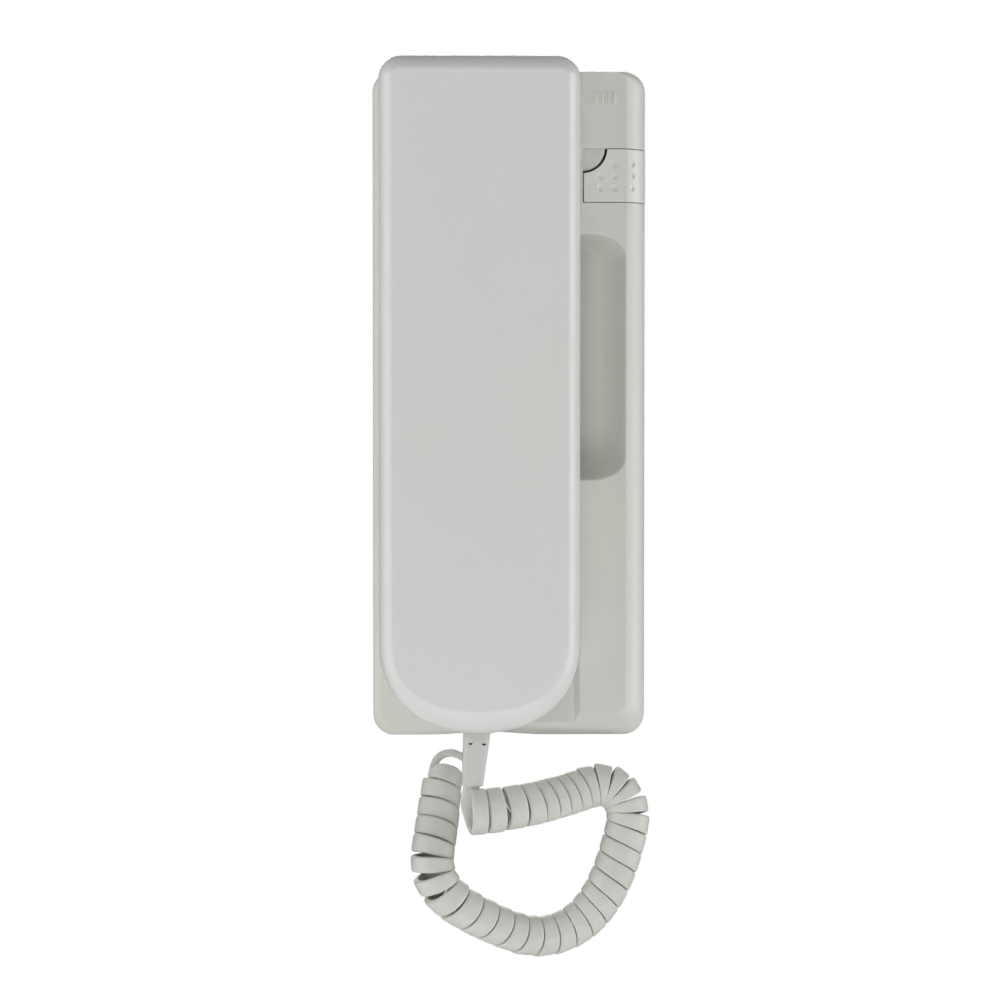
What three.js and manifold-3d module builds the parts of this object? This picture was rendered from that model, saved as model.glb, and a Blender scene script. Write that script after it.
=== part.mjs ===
// Slimline wall phone: a shallow base that screws to the wall, a flat handset
// that lies on its cradle, a door-opening button that wraps round the right
// edge, and a curly cord from the handset back into the base.
//
// Millimetres. X is to the right seen from the front, +Y goes into the wall,
// +Z is up. The wall is the plane y = 0 and the whole phone stands in front of
// it, at negative y. The origin is the middle of the wall face.
import * as THREE from "three";
import { mergeVertices } from "three/addons/utils/BufferGeometryUtils.js";
import Module from "manifold-3d";

const wasm = await Module();
wasm.setup();

// ---------------------------------------------------------------- dimensions
const GAP = 0.3; // clearance between pieces that touch

// base
const BASE_HALF_W = 42.6;
const BASE_HALF_H = 103.95;
const BASE_CORNER_R = 6.5;
const WALL = 2.2; // moulded wall thickness of the covers
const DECK_Y = -24; // face of the raised strip on the right
const CRADLE_Y = -20; // floor that the handset lies on
const STEP_X = 21.3; // step between cradle floor and raised strip
const EDGE_START_Y = -16; // where the rounded rim of the cover begins
const EDGE_RIGHT = 6.4, EDGE_LEFT = 2.2, EDGE_TOP = 1.2, EDGE_BOTTOM = 8.2;
const ARCH_X = -6.75, ARCH_HALF = 18.1, ARCH_RISE = 0.9; // shallow arch in the lower edge
const PLATE_T = 2.5; // back plate thickness
const PLATE_HALF_W = BASE_HALF_W - WALL - 0.35;
const PLATE_HALF_H = BASE_HALF_H - WALL - 0.35;
const KEYHOLE_Z = [88, -72];
const CABLE_ENTRY = { x0: -34, x1: -8, z0: -76, z1: -60 };

// wells in the cradle for the two caps of the handset
const WELL_Y = -16.6;
const EAR = { x: -9.5, z: 70, well: 24.2, cap: 22.6, top: 18.4 };
const MOUTH = { x: -9.5, z: -66, well: 22.2, cap: 20.6, top: 16.4 };
const CAP_Y = -17.3; // highest point of the caps towards the cradle

// finger scoop beside the handset
const SCOOP_FLOOR_Y = -12.5;
const SCOOP = { left: 5, right: 35.95, top: 53.0, bottom: -23.3 };

// door button
const BTN = { x0: 23.05, z0: 62.85, z1: 79.15, notchX: 22.75, notchZ: 79.4, notchR: 7.6 };
const PAD_R = 6.9;
const BTN_TRAVEL = 1.8;
const LEAF_PIVOT_X = 12.3;

// circuit board
const PCB_BACK = -7.0, PCB_FRONT = -8.6;
const COVER_SCREW = { x: -9.5, z: -14 };

// hook switch
const HOOK = { x: -9.5, z: 22, pivotZ: 39.7, tipZ: 23 };

// handset
const HS_X = -9.5;
const HS_HALF_W = 30.6;
const HS_TOP = 105.4;
const HS_CORNER_R = 7;
const HS_BEND_Z = -71, HS_BEND_B = 29.2, HS_BEND_P = 2.3; // the long round lower end
const HS_FRONT = -46, HS_EDGE_Y = -39.6, HS_PART = -31.5, HS_BACK = -20.3;
const HS_EDGE_SIDE = 4.0, HS_EDGE_TOP = 4.9, HS_EDGE_BOTTOM = 7.0;
const HS_SCREWS = [38, -32];
const RELIEF_Y = -33;

// curly cord: outside diameter of its turns, and the line of their centres
const COIL_D = 13.2;
const COIL_PATH = [
  [-14.5, -33.6, -125.7], [-12.1, -33.4, -125.5], [-6.5, -33.0, -125.1], [-0.6, -32.1, -124.4],
  [6.2, -31.2, -123.4], [11.0, -30.1, -122.6], [14.8, -29.0, -121.7], [18.2, -28.0, -121.0],
  [21.3, -27.0, -120.1], [24.5, -26.1, -119.2], [27.7, -25.2, -118.6], [30.8, -24.7, -119.0],
  [33.6, -24.2, -120.8], [35.9, -24.1, -123.9], [36.9, -24.0, -127.7], [36.5, -24.1, -132.3],
  [35.2, -24.3, -137.5], [33.5, -24.4, -143.0], [31.5, -24.7, -148.0], [29.0, -25.1, -152.7],
  [26.3, -25.4, -156.6], [23.4, -25.9, -159.7], [19.8, -26.5, -162.2], [15.4, -27.0, -164.0],
  [10.7, -27.5, -164.9], [5.5, -28.1, -164.6], [0.5, -28.6, -163.1], [-4.6, -28.8, -161.1],
  [-9.9, -29.0, -158.5], [-15.3, -28.5, -155.4], [-20.2, -28.0, -151.3], [-23.2, -26.4, -146.5],
  [-24.0, -23.8, -141.2], [-23.3, -20.6, -135.8], [-22.5, -17.2, -130.5], [-21.8, -13.6, -125.2],
  [-20.9, -10.4, -119.7], [-20.5, -9.2, -116.6],
];
const LEAD_D = 3.2;
const LEAD_PATH = [
  [-23.6, -10.3, -114.5], [-23.2, -9.8, -113.4], [-22.4, -9.3, -112.1], [-21.3, -9.0, -111.1],
  [-19.7, -9.0, -110.5], [-17.9, -9.0, -110.3], [-16.1, -9.0, -110.9], [-14.4, -9.0, -111.8],
  [-12.4, -8.9, -112.6], [-10.9, -8.8, -112.0], [-9.8, -8.8, -110.3], [-8.9, -8.8, -107.9],
  [-8.4, -8.8, -105.4],
];
const PLUG = { x: -8.3, y: -8.8, z0: -104.4, z1: -92.4 };

// ------------------------------------------------------------------- helpers
const V2 = (x, y) => new THREE.Vector2(x, y);

// A closed three.js geometry as a solid that can be joined and cut.
function solid(geometry) {
  const g = geometry.clone();
  for (const name of Object.keys(g.attributes)) if (name !== "position") g.deleteAttribute(name);
  const merged = mergeVertices(g, 1e-4);
  const tri = [];
  const ix = merged.index.array;
  for (let i = 0; i < ix.length; i += 3)
    if (ix[i] !== ix[i + 1] && ix[i + 1] !== ix[i + 2] && ix[i] !== ix[i + 2]) tri.push(ix[i], ix[i + 1], ix[i + 2]);
  return new wasm.Manifold(
    new wasm.Mesh({
      numProp: 3,
      vertProperties: new Float32Array(merged.attributes.position.array),
      triVerts: new Uint32Array(tri),
    }),
  );
}
function geometryOf(manifold) {
  const m = manifold.getMesh();
  const g = new THREE.BufferGeometry();
  const position = new Float32Array(m.numVert * 3);
  for (let i = 0; i < m.numVert; i++) position.set(m.vertProperties.subarray(i * m.numProp, i * m.numProp + 3), i * 3);
  g.setAttribute("position", new THREE.BufferAttribute(position, 3));
  g.setIndex(new THREE.BufferAttribute(new Uint32Array(m.triVerts), 1));
  g.computeVertexNormals();
  return g;
}
const join = (...s) => s.reduce((a, b) => a.add(b));
const cut = (a, ...s) => s.reduce((x, b) => x.subtract(b), a);

function boxS(x0, x1, y0, y1, z0, z1) {
  const g = new THREE.BoxGeometry(Math.abs(x1 - x0), Math.abs(y1 - y0), Math.abs(z1 - z0));
  g.translate((x0 + x1) / 2, (y0 + y1) / 2, (z0 + z1) / 2);
  return solid(g);
}
// A round bar along Y from yBack to yFront (yFront is the more negative).
function rodY(x, z, r, yBack, yFront, sides = 20, rFront = r) {
  const g = new THREE.CylinderGeometry(r, rFront, yBack - yFront, sides);
  g.translate(x, (yBack + yFront) / 2, z);
  return solid(g);
}
function rodZ(x, y, r, z0, z1, sides = 20) {
  const g = new THREE.CylinderGeometry(r, r, z1 - z0, sides);
  g.rotateX(Math.PI / 2);
  g.translate(x, y, (z0 + z1) / 2);
  return solid(g);
}
// A flat outline in XZ given thickness from yBack towards the front.
function slab(points, yBack, yFront) {
  const g = new THREE.ExtrudeGeometry(new THREE.Shape(points.map((p) => V2(p[0], p[1]))), {
    depth: yBack - yFront,
    bevelEnabled: false,
    steps: 1,
  });
  g.rotateX(Math.PI / 2);
  g.translate(0, yBack, 0);
  return solid(g);
}
// A solid skinned over rings of points; each ring is [[x, z, y], ...] and all have the same count.
function loft(rings) {
  const n = rings[0].length;
  const position = [];
  for (const r of rings) for (const [x, z, y] of r) position.push(x, y, z);
  const index = [];
  for (let k = 0; k + 1 < rings.length; k++)
    for (let i = 0; i < n; i++) {
      const j = (i + 1) % n, a = k * n + i, b = k * n + j, c = (k + 1) * n + i, d = (k + 1) * n + j;
      index.push(a, b, d, a, d, c);
    }
  // each end is closed by a fan about its middle
  const cap = (k, flip) => {
    const mid = rings[k].reduce((m, p) => [m[0] + p[0] / n, m[1] + p[1] / n, m[2] + p[2] / n], [0, 0, 0]);
    const c = position.length / 3;
    position.push(mid[0], mid[2], mid[1]);
    for (let i = 0; i < n; i++) {
      const a = k * n + i, b = k * n + ((i + 1) % n);
      flip ? index.push(c, b, a) : index.push(c, a, b);
    }
  };
  // rings run counter-clockwise seen from the front, from the back ring to the front ring
  cap(0, true);
  cap(rings.length - 1, false);
  const g = new THREE.BufferGeometry();
  g.setAttribute("position", new THREE.BufferAttribute(new Float32Array(position), 3));
  g.setIndex(index);
  let s = solid(g);
  if (s.volume() < 0) {
    const flipped = [];
    for (let i = 0; i < index.length; i += 3) flipped.push(index[i], index[i + 2], index[i + 1]);
    g.setIndex(flipped);
    s = solid(g);
  }
  return s;
}
// Outline points with their outward normals: [x, z, nx, nz].
function roundedRect(hw, hh, r, seg = 5, archRise = 0) {
  const out = [];
  const corner = (cx, cz, a0) => {
    for (let i = 0; i <= seg; i++) {
      const a = a0 + (i / seg) * (Math.PI / 2);
      out.push([cx + r * Math.cos(a), cz + r * Math.sin(a), Math.cos(a), Math.sin(a)]);
    }
  };
  corner(hw - r, hh - r, 0);
  corner(-hw + r, hh - r, Math.PI / 2);
  corner(-hw + r, -hh + r, Math.PI);
  for (let i = 0; i <= 8; i++) {
    const u = -1 + (2 * i) / 8;
    out.push([ARCH_X + ARCH_HALF * u, -hh + archRise * 0.5 * (1 + Math.cos(Math.PI * u)), 0, -1]);
  }
  corner(hw - r, -hh + r, (3 * Math.PI) / 2);
  return out;
}
// How far the rim of the cover has drawn in at a depth, side by side. The right and
// top sides are rounded and meet the face at a slight crease; the left and bottom
// sides are flat slopes rounded into the side.
const CREASE = (62 * Math.PI) / 180;
function edgeRight(y) {
  const v = (EDGE_START_Y - y) / (EDGE_START_Y - DECK_Y);
  if (v <= 0) return 0;
  const a = Math.asin(Math.min(1, v) * Math.sin(CREASE));
  return (EDGE_RIGHT * (1 - Math.cos(a))) / (1 - Math.cos(CREASE));
}
const edgeTop = (y) => (EDGE_TOP * edgeRight(y)) / EDGE_RIGHT;
function slope(y, y0, y1, width, soft) {
  const t = (y0 - y) / (y0 - y1);
  if (t <= 0) return 0;
  const k = soft / Math.abs(y0 - y1);
  return t < k ? (width * t * t) / (2 * k) / (1 - k / 2) : (width * (t - k / 2)) / (1 - k / 2);
}
const edgeLeft = (y) => Math.min(EDGE_LEFT, slope(y, -17, CRADLE_Y, EDGE_LEFT, 1.6));
const edgeBottom = (y) => slope(y, -13.6, DECK_Y, EDGE_BOTTOM, 3.0);
// One level of the cover's outside.
function coverRing(y, seg = 6) {
  const dr = edgeRight(y), dl = edgeLeft(y), dt = edgeTop(y), db = edgeBottom(y);
  const R = BASE_HALF_W - dr, L = -BASE_HALF_W + dl, T = BASE_HALF_H - dt, B = -BASE_HALF_H + db;
  const radius = (h, hm, v, vm) => {
    const q = 0.5 * (h / hm + v / vm);
    return BASE_CORNER_R * (1 - q) + 2.2 * q;
  };
  const out = [];
  const corner = (sx, cx, sz, cz, r, a0) => {
    for (let i = 0; i <= seg; i++) {
      const a = a0 + (i / seg) * (Math.PI / 2);
      out.push([cx - sx * r + r * Math.cos(a), cz - sz * r + r * Math.sin(a), y]);
    }
  };
  corner(1, R, 1, T, radius(dr, EDGE_RIGHT, dt, EDGE_TOP), 0);
  corner(-1, L, 1, T, radius(dl, EDGE_LEFT, dt, EDGE_TOP), Math.PI / 2);
  corner(-1, L, -1, B, radius(dl, EDGE_LEFT, db, EDGE_BOTTOM), Math.PI);
  const arch = Math.max(0, 1 - db / EDGE_BOTTOM);
  for (let i = 0; i <= 8; i++) {
    const u = -1 + (2 * i) / 8;
    out.push([ARCH_X + ARCH_HALF * u, B + ARCH_RISE * arch * 0.5 * (1 + Math.cos(Math.PI * u)), y]);
  }
  corner(1, R, -1, B, radius(dr, EDGE_RIGHT, db, EDGE_BOTTOM), (3 * Math.PI) / 2);
  return out;
}
function handsetOutline(seg = 6, bend = 20) {
  const out = [];
  const hw = HS_HALF_W, r = HS_CORNER_R;
  const corner = (cx, cz, a0) => {
    for (let i = 0; i <= seg; i++) {
      const a = a0 + (i / seg) * (Math.PI / 2);
      out.push([HS_X + cx + r * Math.cos(a), cz + r * Math.sin(a), Math.cos(a), Math.sin(a)]);
    }
  };
  corner(hw - r, HS_TOP - r, 0);
  corner(-hw + r, HS_TOP - r, Math.PI / 2);
  for (let i = 0; i <= bend; i++) {
    const t = Math.PI + (i / bend) * Math.PI;
    const c = Math.cos(t), s = Math.sin(t), e = 2 / HS_BEND_P;
    const x = hw * Math.sign(c) * Math.abs(c) ** e, z = HS_BEND_B * Math.sign(s) * Math.abs(s) ** e;
    let nx = Math.sign(x) * Math.abs(x / hw) ** (HS_BEND_P - 1) / hw;
    let nz = Math.sign(z) * Math.abs(z / HS_BEND_B) ** (HS_BEND_P - 1) / HS_BEND_B;
    const l = Math.hypot(nx, nz);
    out.push([HS_X + x, HS_BEND_Z + z, nx / l, nz / l]);
  }
  return out;
}
const ring = (outline, inset, y) =>
  outline.map(([x, z, nx, nz]) => {
    const d = inset(nx, nz);
    return [x - nx * d, z - nz * d, y];
  });
const rim = (right, left, top, bottom) => (nx, nz) =>
  (nx > 0 ? right : left) * nx * nx + (nz > 0 ? top : bottom) * nz * nz;
const scaled = (f, s, plus = 0) => (nx, nz) => f(nx, nz) * s + plus;
const quarter = (t) => 1 - Math.sqrt(Math.max(0, 1 - t * t)); // elliptical rounding

// A swept bar of round section along a smooth line.
function sweep(path, d, steps, sides) {
  const section = [];
  for (let i = 0; i < sides; i++) {
    const a = (i / sides) * 2 * Math.PI;
    section.push(V2((d / 2) * Math.cos(a), (d / 2) * Math.sin(a)));
  }
  const curve = new THREE.CatmullRomCurve3(path.map((p) => new THREE.Vector3(...p)), false, "centripetal");
  return solid(new THREE.ExtrudeGeometry(new THREE.Shape(section), { steps, extrudePath: curve, bevelEnabled: false }));
}
function screw(x, z, headR, headBack, headFront, shankR, shankBack, sides = 16) {
  return cut(
    join(rodY(x, z, headR, headBack, headFront, sides), rodY(x, z, shankR, shankBack, headBack - 0.01, sides)),
    boxS(x - headR - 1, x + headR + 1, headFront - 1, headFront + 0.6, z - 0.35, z + 0.35),
  );
}

const phone = new THREE.Group();
phone.name = "slimline_wall_phone";
const PLASTIC = { color: 0xdedcd4, roughness: 0.5, metalness: 0 };
function add(name, manifold, look) {
  const mesh = new THREE.Mesh(geometryOf(manifold), new THREE.MeshStandardMaterial(look));
  mesh.name = name;
  phone.add(mesh);
  return mesh;
}

// ---------------------------------------------------------------- back plate
{
  const outline = roundedRect(PLATE_HALF_W, PLATE_HALF_H, BASE_CORNER_R - WALL, 4).map((p) => [p[0], p[1]]);
  let s = slab(outline, 0, -PLATE_T);
  for (const z of KEYHOLE_Z) {
    s = cut(s, rodY(0, z, 4.4, 1, -PLATE_T - 1, 20), boxS(-2.3, 2.3, 1, -PLATE_T - 1, z, z + 9), rodY(0, z + 9, 2.3, 1, -PLATE_T - 1, 12));
  }
  s = cut(s, boxS(CABLE_ENTRY.x0, CABLE_ENTRY.x1, 1, -PLATE_T - 1, CABLE_ENTRY.z0, CABLE_ENTRY.z1));
  // posts under the board, and the long post of the cover screw
  for (const [x, z] of [[-33, 80], [-33, -40], [2, 80], [2, -54], [30, 61]])
    s = join(s, rodY(x, z, 3, -PLATE_T + 0.2, PCB_BACK + -(-GAP), 12));
  for (const [x, z] of [[-33, 80], [2, -54]]) s = cut(s, rodY(x, z, 1.4, -3.2, PCB_BACK - 1, 12));
  s = join(s, rodY(COVER_SCREW.x, COVER_SCREW.z, 3.6, -PLATE_T + 0.2, -15.0, 16));
  s = cut(s, rodY(COVER_SCREW.x, COVER_SCREW.z, 1.8, -6, -16, 12));
  // two hooks that the cover's top edge clips over, and stiffening ribs
  for (const x of [-24, 24]) s = join(s, boxS(x - 4, x + 4, -PLATE_T + 0.2, -9, 99.6, 101.4));
  s = join(s, boxS(12, 13.2, -PLATE_T + 0.2, -6.2, -96, -30), boxS(-38, -36.8, -PLATE_T + 0.2, -6.0, -96, -64));
  add("back_plate", s, { ...PLASTIC, color: 0xd6d3c9, roughness: 0.6 });
}

// --------------------------------------------------------------- front cover
// finger scoop: a long hollow with a curved right wall and softer ends
function scoopRing(inset, y, grow = 0) {
  const { left, right, top, bottom } = SCOOP;
  const pts = [];
  const ex = 11, ezT = 7.4, ezB = 7.0;
  const L = left + inset * 3 - grow, R = right - inset * 8.6 + grow;
  const T = top - inset * 5.2 + grow, B = bottom + inset * 5.2 - grow;
  const arc = (cx, cz, rx, rz, a0, n = 5) => {
    for (let i = 0; i <= n; i++) {
      const a = a0 + (i / n) * (Math.PI / 2);
      pts.push([cx + rx * Math.cos(a), cz + rz * Math.sin(a), y]);
    }
  };
  const k = 1 - 0.35 * inset;
  arc(R - ex * k, T - ezT * k, ex * k, ezT * k, 0);
  arc(L + 4 * k, T - 4 * k, 4 * k, 4 * k, Math.PI / 2);
  arc(L + 4 * k, B + 4 * k, 4 * k, 4 * k, Math.PI);
  arc(R - ex * k, B + ezB * k, ex * k, ezB * k, (3 * Math.PI) / 2);
  return pts;
}
const scoopLoft = (grow, front) =>
  loft([
    scoopRing(1.0, SCOOP_FLOOR_Y + grow, grow * 0.5),
    scoopRing(0.62, -13.8 + grow * 0.7, grow * 0.8),
    scoopRing(0.3, -16.6 + grow * 0.4, grow),
    scoopRing(0.1, -20.4, grow),
    scoopRing(0.0, DECK_Y - 0.4, grow),
    scoopRing(0.0, front, grow),
  ]);
{
  const rings = [-0.6, -13.6, -14.6, -16, -17, -18, -19.2, -20, -21, -22, -22.9, -23.5, -24].map((y) => coverRing(y));
  let body = loft(rings);
  body = cut(body, boxS(-60, STEP_X, CRADLE_Y, -40, -120, 120));
  // the hollow inside, kept clear of the scoop and of the wells by one wall
  const inner = roundedRect(BASE_HALF_W - WALL, BASE_HALF_H - WALL, BASE_CORNER_R - WALL, 4);
  let hollow = loft([
    ring(inner, () => 0, 1),
    ring(inner, () => 0, -12.6),
    ring(inner, rim(1.65, 0.55, 1.15, 2.4), -15.6),
    ring(inner, rim(3.63, 1.4, 2.53, 4.6), CRADLE_Y + WALL),
  ]);
  hollow = join(hollow, boxS(STEP_X + WALL, 34.2, -14, DECK_Y + WALL, -93.5, 97.5));
  hollow = cut(
    hollow,
    scoopLoft(WALL, DECK_Y - 1),
    rodY(EAR.x, EAR.z, EAR.well + WALL, WELL_Y + WALL, -30, 40),
    rodY(MOUTH.x, MOUTH.z, MOUTH.well + WALL, WELL_Y + WALL, -30, 36),
    rodY(COVER_SCREW.x, COVER_SCREW.z, 5, -15.3, -30, 16),
  );
  body = cut(
    body,
    hollow,
    scoopLoft(0, -40),
    rodY(EAR.x, EAR.z, EAR.well - 0.8, WELL_Y, -40, 40, EAR.well + 4.3),
    rodY(MOUTH.x, MOUTH.z, MOUTH.well - 0.8, WELL_Y, -40, 36, MOUTH.well + 4.3),
    rodY(COVER_SCREW.x, COVER_SCREW.z, 3.8, -17.6, -30, 16),
    rodY(COVER_SCREW.x, COVER_SCREW.z, 1.8, -10, -30, 12),
    boxS(HOOK.x - 3.4, HOOK.x + 3.4, -10, -30, HOOK.z - 3.4, HOOK.z + 3.4),
    boxS(PLUG.x - 4.4, PLUG.x + 4.4, -4.7, -12.9, -112, -100),
  );
  // slot of the door button, less the fixed quarter-round pad in its corner
  let slot = boxS(BTN.notchX, 50, -12, -40, BTN.z0 - 0.25, BTN.notchZ);
  slot = cut(slot, rodY(BTN.notchX, BTN.notchZ, PAD_R, -21.8, -23.3, 32));
  body = cut(body, slot);
  // plain ribs above the sounder
  for (let i = 0; i < 5; i++) body = join(body, boxS(24.55 + i * 1.9, 25.45 + i * 1.9, DECK_Y + 0.4, DECK_Y - 0.35, 93.0, 97.0));
  add("front_cover", body, PLASTIC);
}

// --------------------------------------------------------------- door button
{
  const hw = BASE_HALF_W - 0.05;
  const prof = [[BTN.x0, DECK_Y - 0.35]];
  for (const y of [-24, -23.5, -22.9, -22, -21, -20, -18.6, -17.2, -16]) prof.push([hw - edgeRight(y) + 0.15, y - 0.32]);
  prof.push([hw + 0.15, -14.3], [hw - 1.8, -14.3], [hw - 1.8, -16.4]);
  for (const y of [-18.0, -19.6, -21.4, -22.6]) prof.push([hw - edgeRight(y) - 1.7, y + 1.2]);
  prof.push([BTN.x0 + 11.5, DECK_Y + 1.7], [BTN.x0, DECK_Y + 1.7]);
  const shape = new THREE.Shape(prof.map(([x, y]) => V2(x, y)));
  const g = new THREE.ExtrudeGeometry(shape, { depth: BTN.z1 - BTN.z0, bevelEnabled: false, steps: 1 });
  g.translate(0, 0, BTN.z0);
  let s = solid(g);
  if (s.volume() < 0) throw new Error("button profile runs the wrong way");
  s = cut(s, rodY(BTN.notchX, BTN.notchZ, BTN.notchR, -10, -40, 32));
  // five thumb dimples on the face
  for (const [x, z] of [[32.7, 74.6], [28.4, 70.9], [32.7, 70.9], [28.4, 67.2], [32.7, 67.2]]) s = cut(s, rodY(x, z, 0.7, -23.9, -26, 10, 1.6));
  // stem that presses the contact leaf
  s = join(s, rodY(28, 70.7, 1.5, -12.9, DECK_Y + 1.2, 12));
  add("door_button", s, { ...PLASTIC, color: 0xe2e1d8 });
}

// --------------------------------------------------------------- electronics
{
  const pts = [[-37, -58], [6, -58], [6, 57], [34, 57], [34, 84], [-37, 84]];
  let s = slab(pts, PCB_BACK, PCB_FRONT);
  s = cut(s, rodY(COVER_SCREW.x, COVER_SCREW.z, 4.4, 0, -10, 20), rodY(-33, 80, 1.7, 0, -10, 12), rodY(2, -54, 1.7, 0, -10, 12));
  add("circuit_board", s, { color: 0xb58a4a, roughness: 0.5, metalness: 0 });
}
{
  let s = boxS(-35, -5, -8.9, -17, -40.8, -29.8);
  for (let i = 0; i < 6; i++) {
    const x = -32.5 + i * 5;
    s = cut(s, rodY(x, -35.6, 2.0, -12.6, -20, 14), boxS(x - 1.6, x + 1.6, -10.4, -13.4, -50, -36));
  }
  add("terminal_block", s, { color: 0x3d5a45, roughness: 0.5, metalness: 0 });
  for (let i = 0; i < 6; i++) {
    const x = -32.5 + i * 5;
    add("terminal_screw_" + (i + 1), screw(x, -35.6, 1.7, -14.9, -16.4, 1.1, -13.0, 12), { color: 0xc9c9c4, roughness: 0.35, metalness: 1 });
  }
}
add("board_screw_upper", screw(-33, 80, 2.7, -8.9, -10.6, 1.1, -3.6, 12), { color: 0xc9c9c4, roughness: 0.35, metalness: 1 });
add("board_screw_lower", screw(2, -54, 2.7, -8.9, -10.6, 1.1, -3.6, 12), { color: 0xc9c9c4, roughness: 0.35, metalness: 1 });
add("cover_screw", screw(COVER_SCREW.x, COVER_SCREW.z, 3.4, -17.9, -19.6, 1.4, -7.5, 16), { color: 0xc9c9c4, roughness: 0.35, metalness: 1 });
add("line_capacitor", rodZ(-28, -13.2, 4, -6, 8, 20), { color: 0x2b3c5e, roughness: 0.4, metalness: 0.1 });
add(
  "speech_transformer",
  join(boxS(-35, -21, -8.9, -16.6, 24, 38), boxS(-32.5, -23.5, -8.9, -17.3, 21, 41)),
  { color: 0x55534d, roughness: 0.5, metalness: 0.6 },
);
{
  let s = rodY(28, 90.4, 6.8, -11, -17.4, 28);
  s = cut(s, rodY(28, 90.4, 1.6, -15.6, -22, 12));
  s = join(s, boxS(26, 30, -PLATE_T - GAP, -11.2, 88.4, 92.4));
  add("call_buzzer", s, { color: 0x1f1f1f, roughness: 0.5, metalness: 0 });
}

// ---------------------------------------------------- door button's contacts
add("button_contact_block", boxS(6.6, LEAF_PIVOT_X - GAP, -8.9, -13.6, 66, 75.4), { color: 0x2a2a2a, roughness: 0.5, metalness: 0 });
add("button_leaf", boxS(LEAF_PIVOT_X, 30.5, -12.2, -12.6, 68.2, 73.2), { color: 0xc8a24a, roughness: 0.3, metalness: 1 });
add("button_fixed_contact", join(boxS(26.6, 30.4, -8.9, -9.4, 68.8, 72.6), rodY(28.5, 70.7, 1.3, -9.2, -9.9, 12)), { color: 0xc8a24a, roughness: 0.3, metalness: 1 });

// --------------------------------------------------------------- hook switch
{
  const s = join(
    boxS(HOOK.x - 3, HOOK.x + 3, -13, -19.7, HOOK.z - 3, HOOK.z + 3),
    boxS(HOOK.x - 5, HOOK.x + 5, -12.2, -13.2, HOOK.z - 5, HOOK.z + 5),
  );
  add("hook_plunger", s, { ...PLASTIC, color: 0xe6e4dc, roughness: 0.35 });
}
add("hook_contact_block", boxS(HOOK.x - 4.5, HOOK.x + 4.5, -8.9, -13.0, HOOK.pivotZ + GAP, 47), { color: 0x2a2a2a, roughness: 0.5, metalness: 0 });
add("hook_leaf", boxS(HOOK.x - 2.5, HOOK.x + 2.5, -11.5, -11.9, HOOK.tipZ, HOOK.pivotZ), { color: 0xc8a24a, roughness: 0.3, metalness: 1 });
add("hook_fixed_contact", join(boxS(HOOK.x - 2, HOOK.x + 2, -8.9, -9.4, 27, 33), rodY(HOOK.x, 30, 1.3, -9.2, -11.0, 12)), { color: 0xc8a24a, roughness: 0.3, metalness: 1 });

// ------------------------------------------------------------ jack and plug
{
  let s = boxS(PLUG.x - 6, PLUG.x + 6, -PLATE_T - GAP, -13.9, -100.2, -86);
  s = cut(s, boxS(PLUG.x - 4.2, PLUG.x + 4.2, -5.0, -12.6, -110, -91.6));
  add("cord_jack", s, { color: 0x26262a, roughness: 0.45, metalness: 0 });
}
{
  let s = boxS(PLUG.x - 3.85, PLUG.x + 3.85, -5.5, -12.1, PLUG.z0 + 0.6, PLUG.z1);
  s = join(s, boxS(PLUG.x - 2.6, PLUG.x + 2.6, -6.4, -11.2, PLUG.z0, PLUG.z0 + 1));
  add("cord_plug", s, { color: 0xe8e6df, roughness: 0.25, metalness: 0 });
}
add("cord_lead", sweep(LEAD_PATH, LEAD_D, 16, 8), { color: 0xdbd8cc, roughness: 0.5, metalness: 0 });

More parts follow.
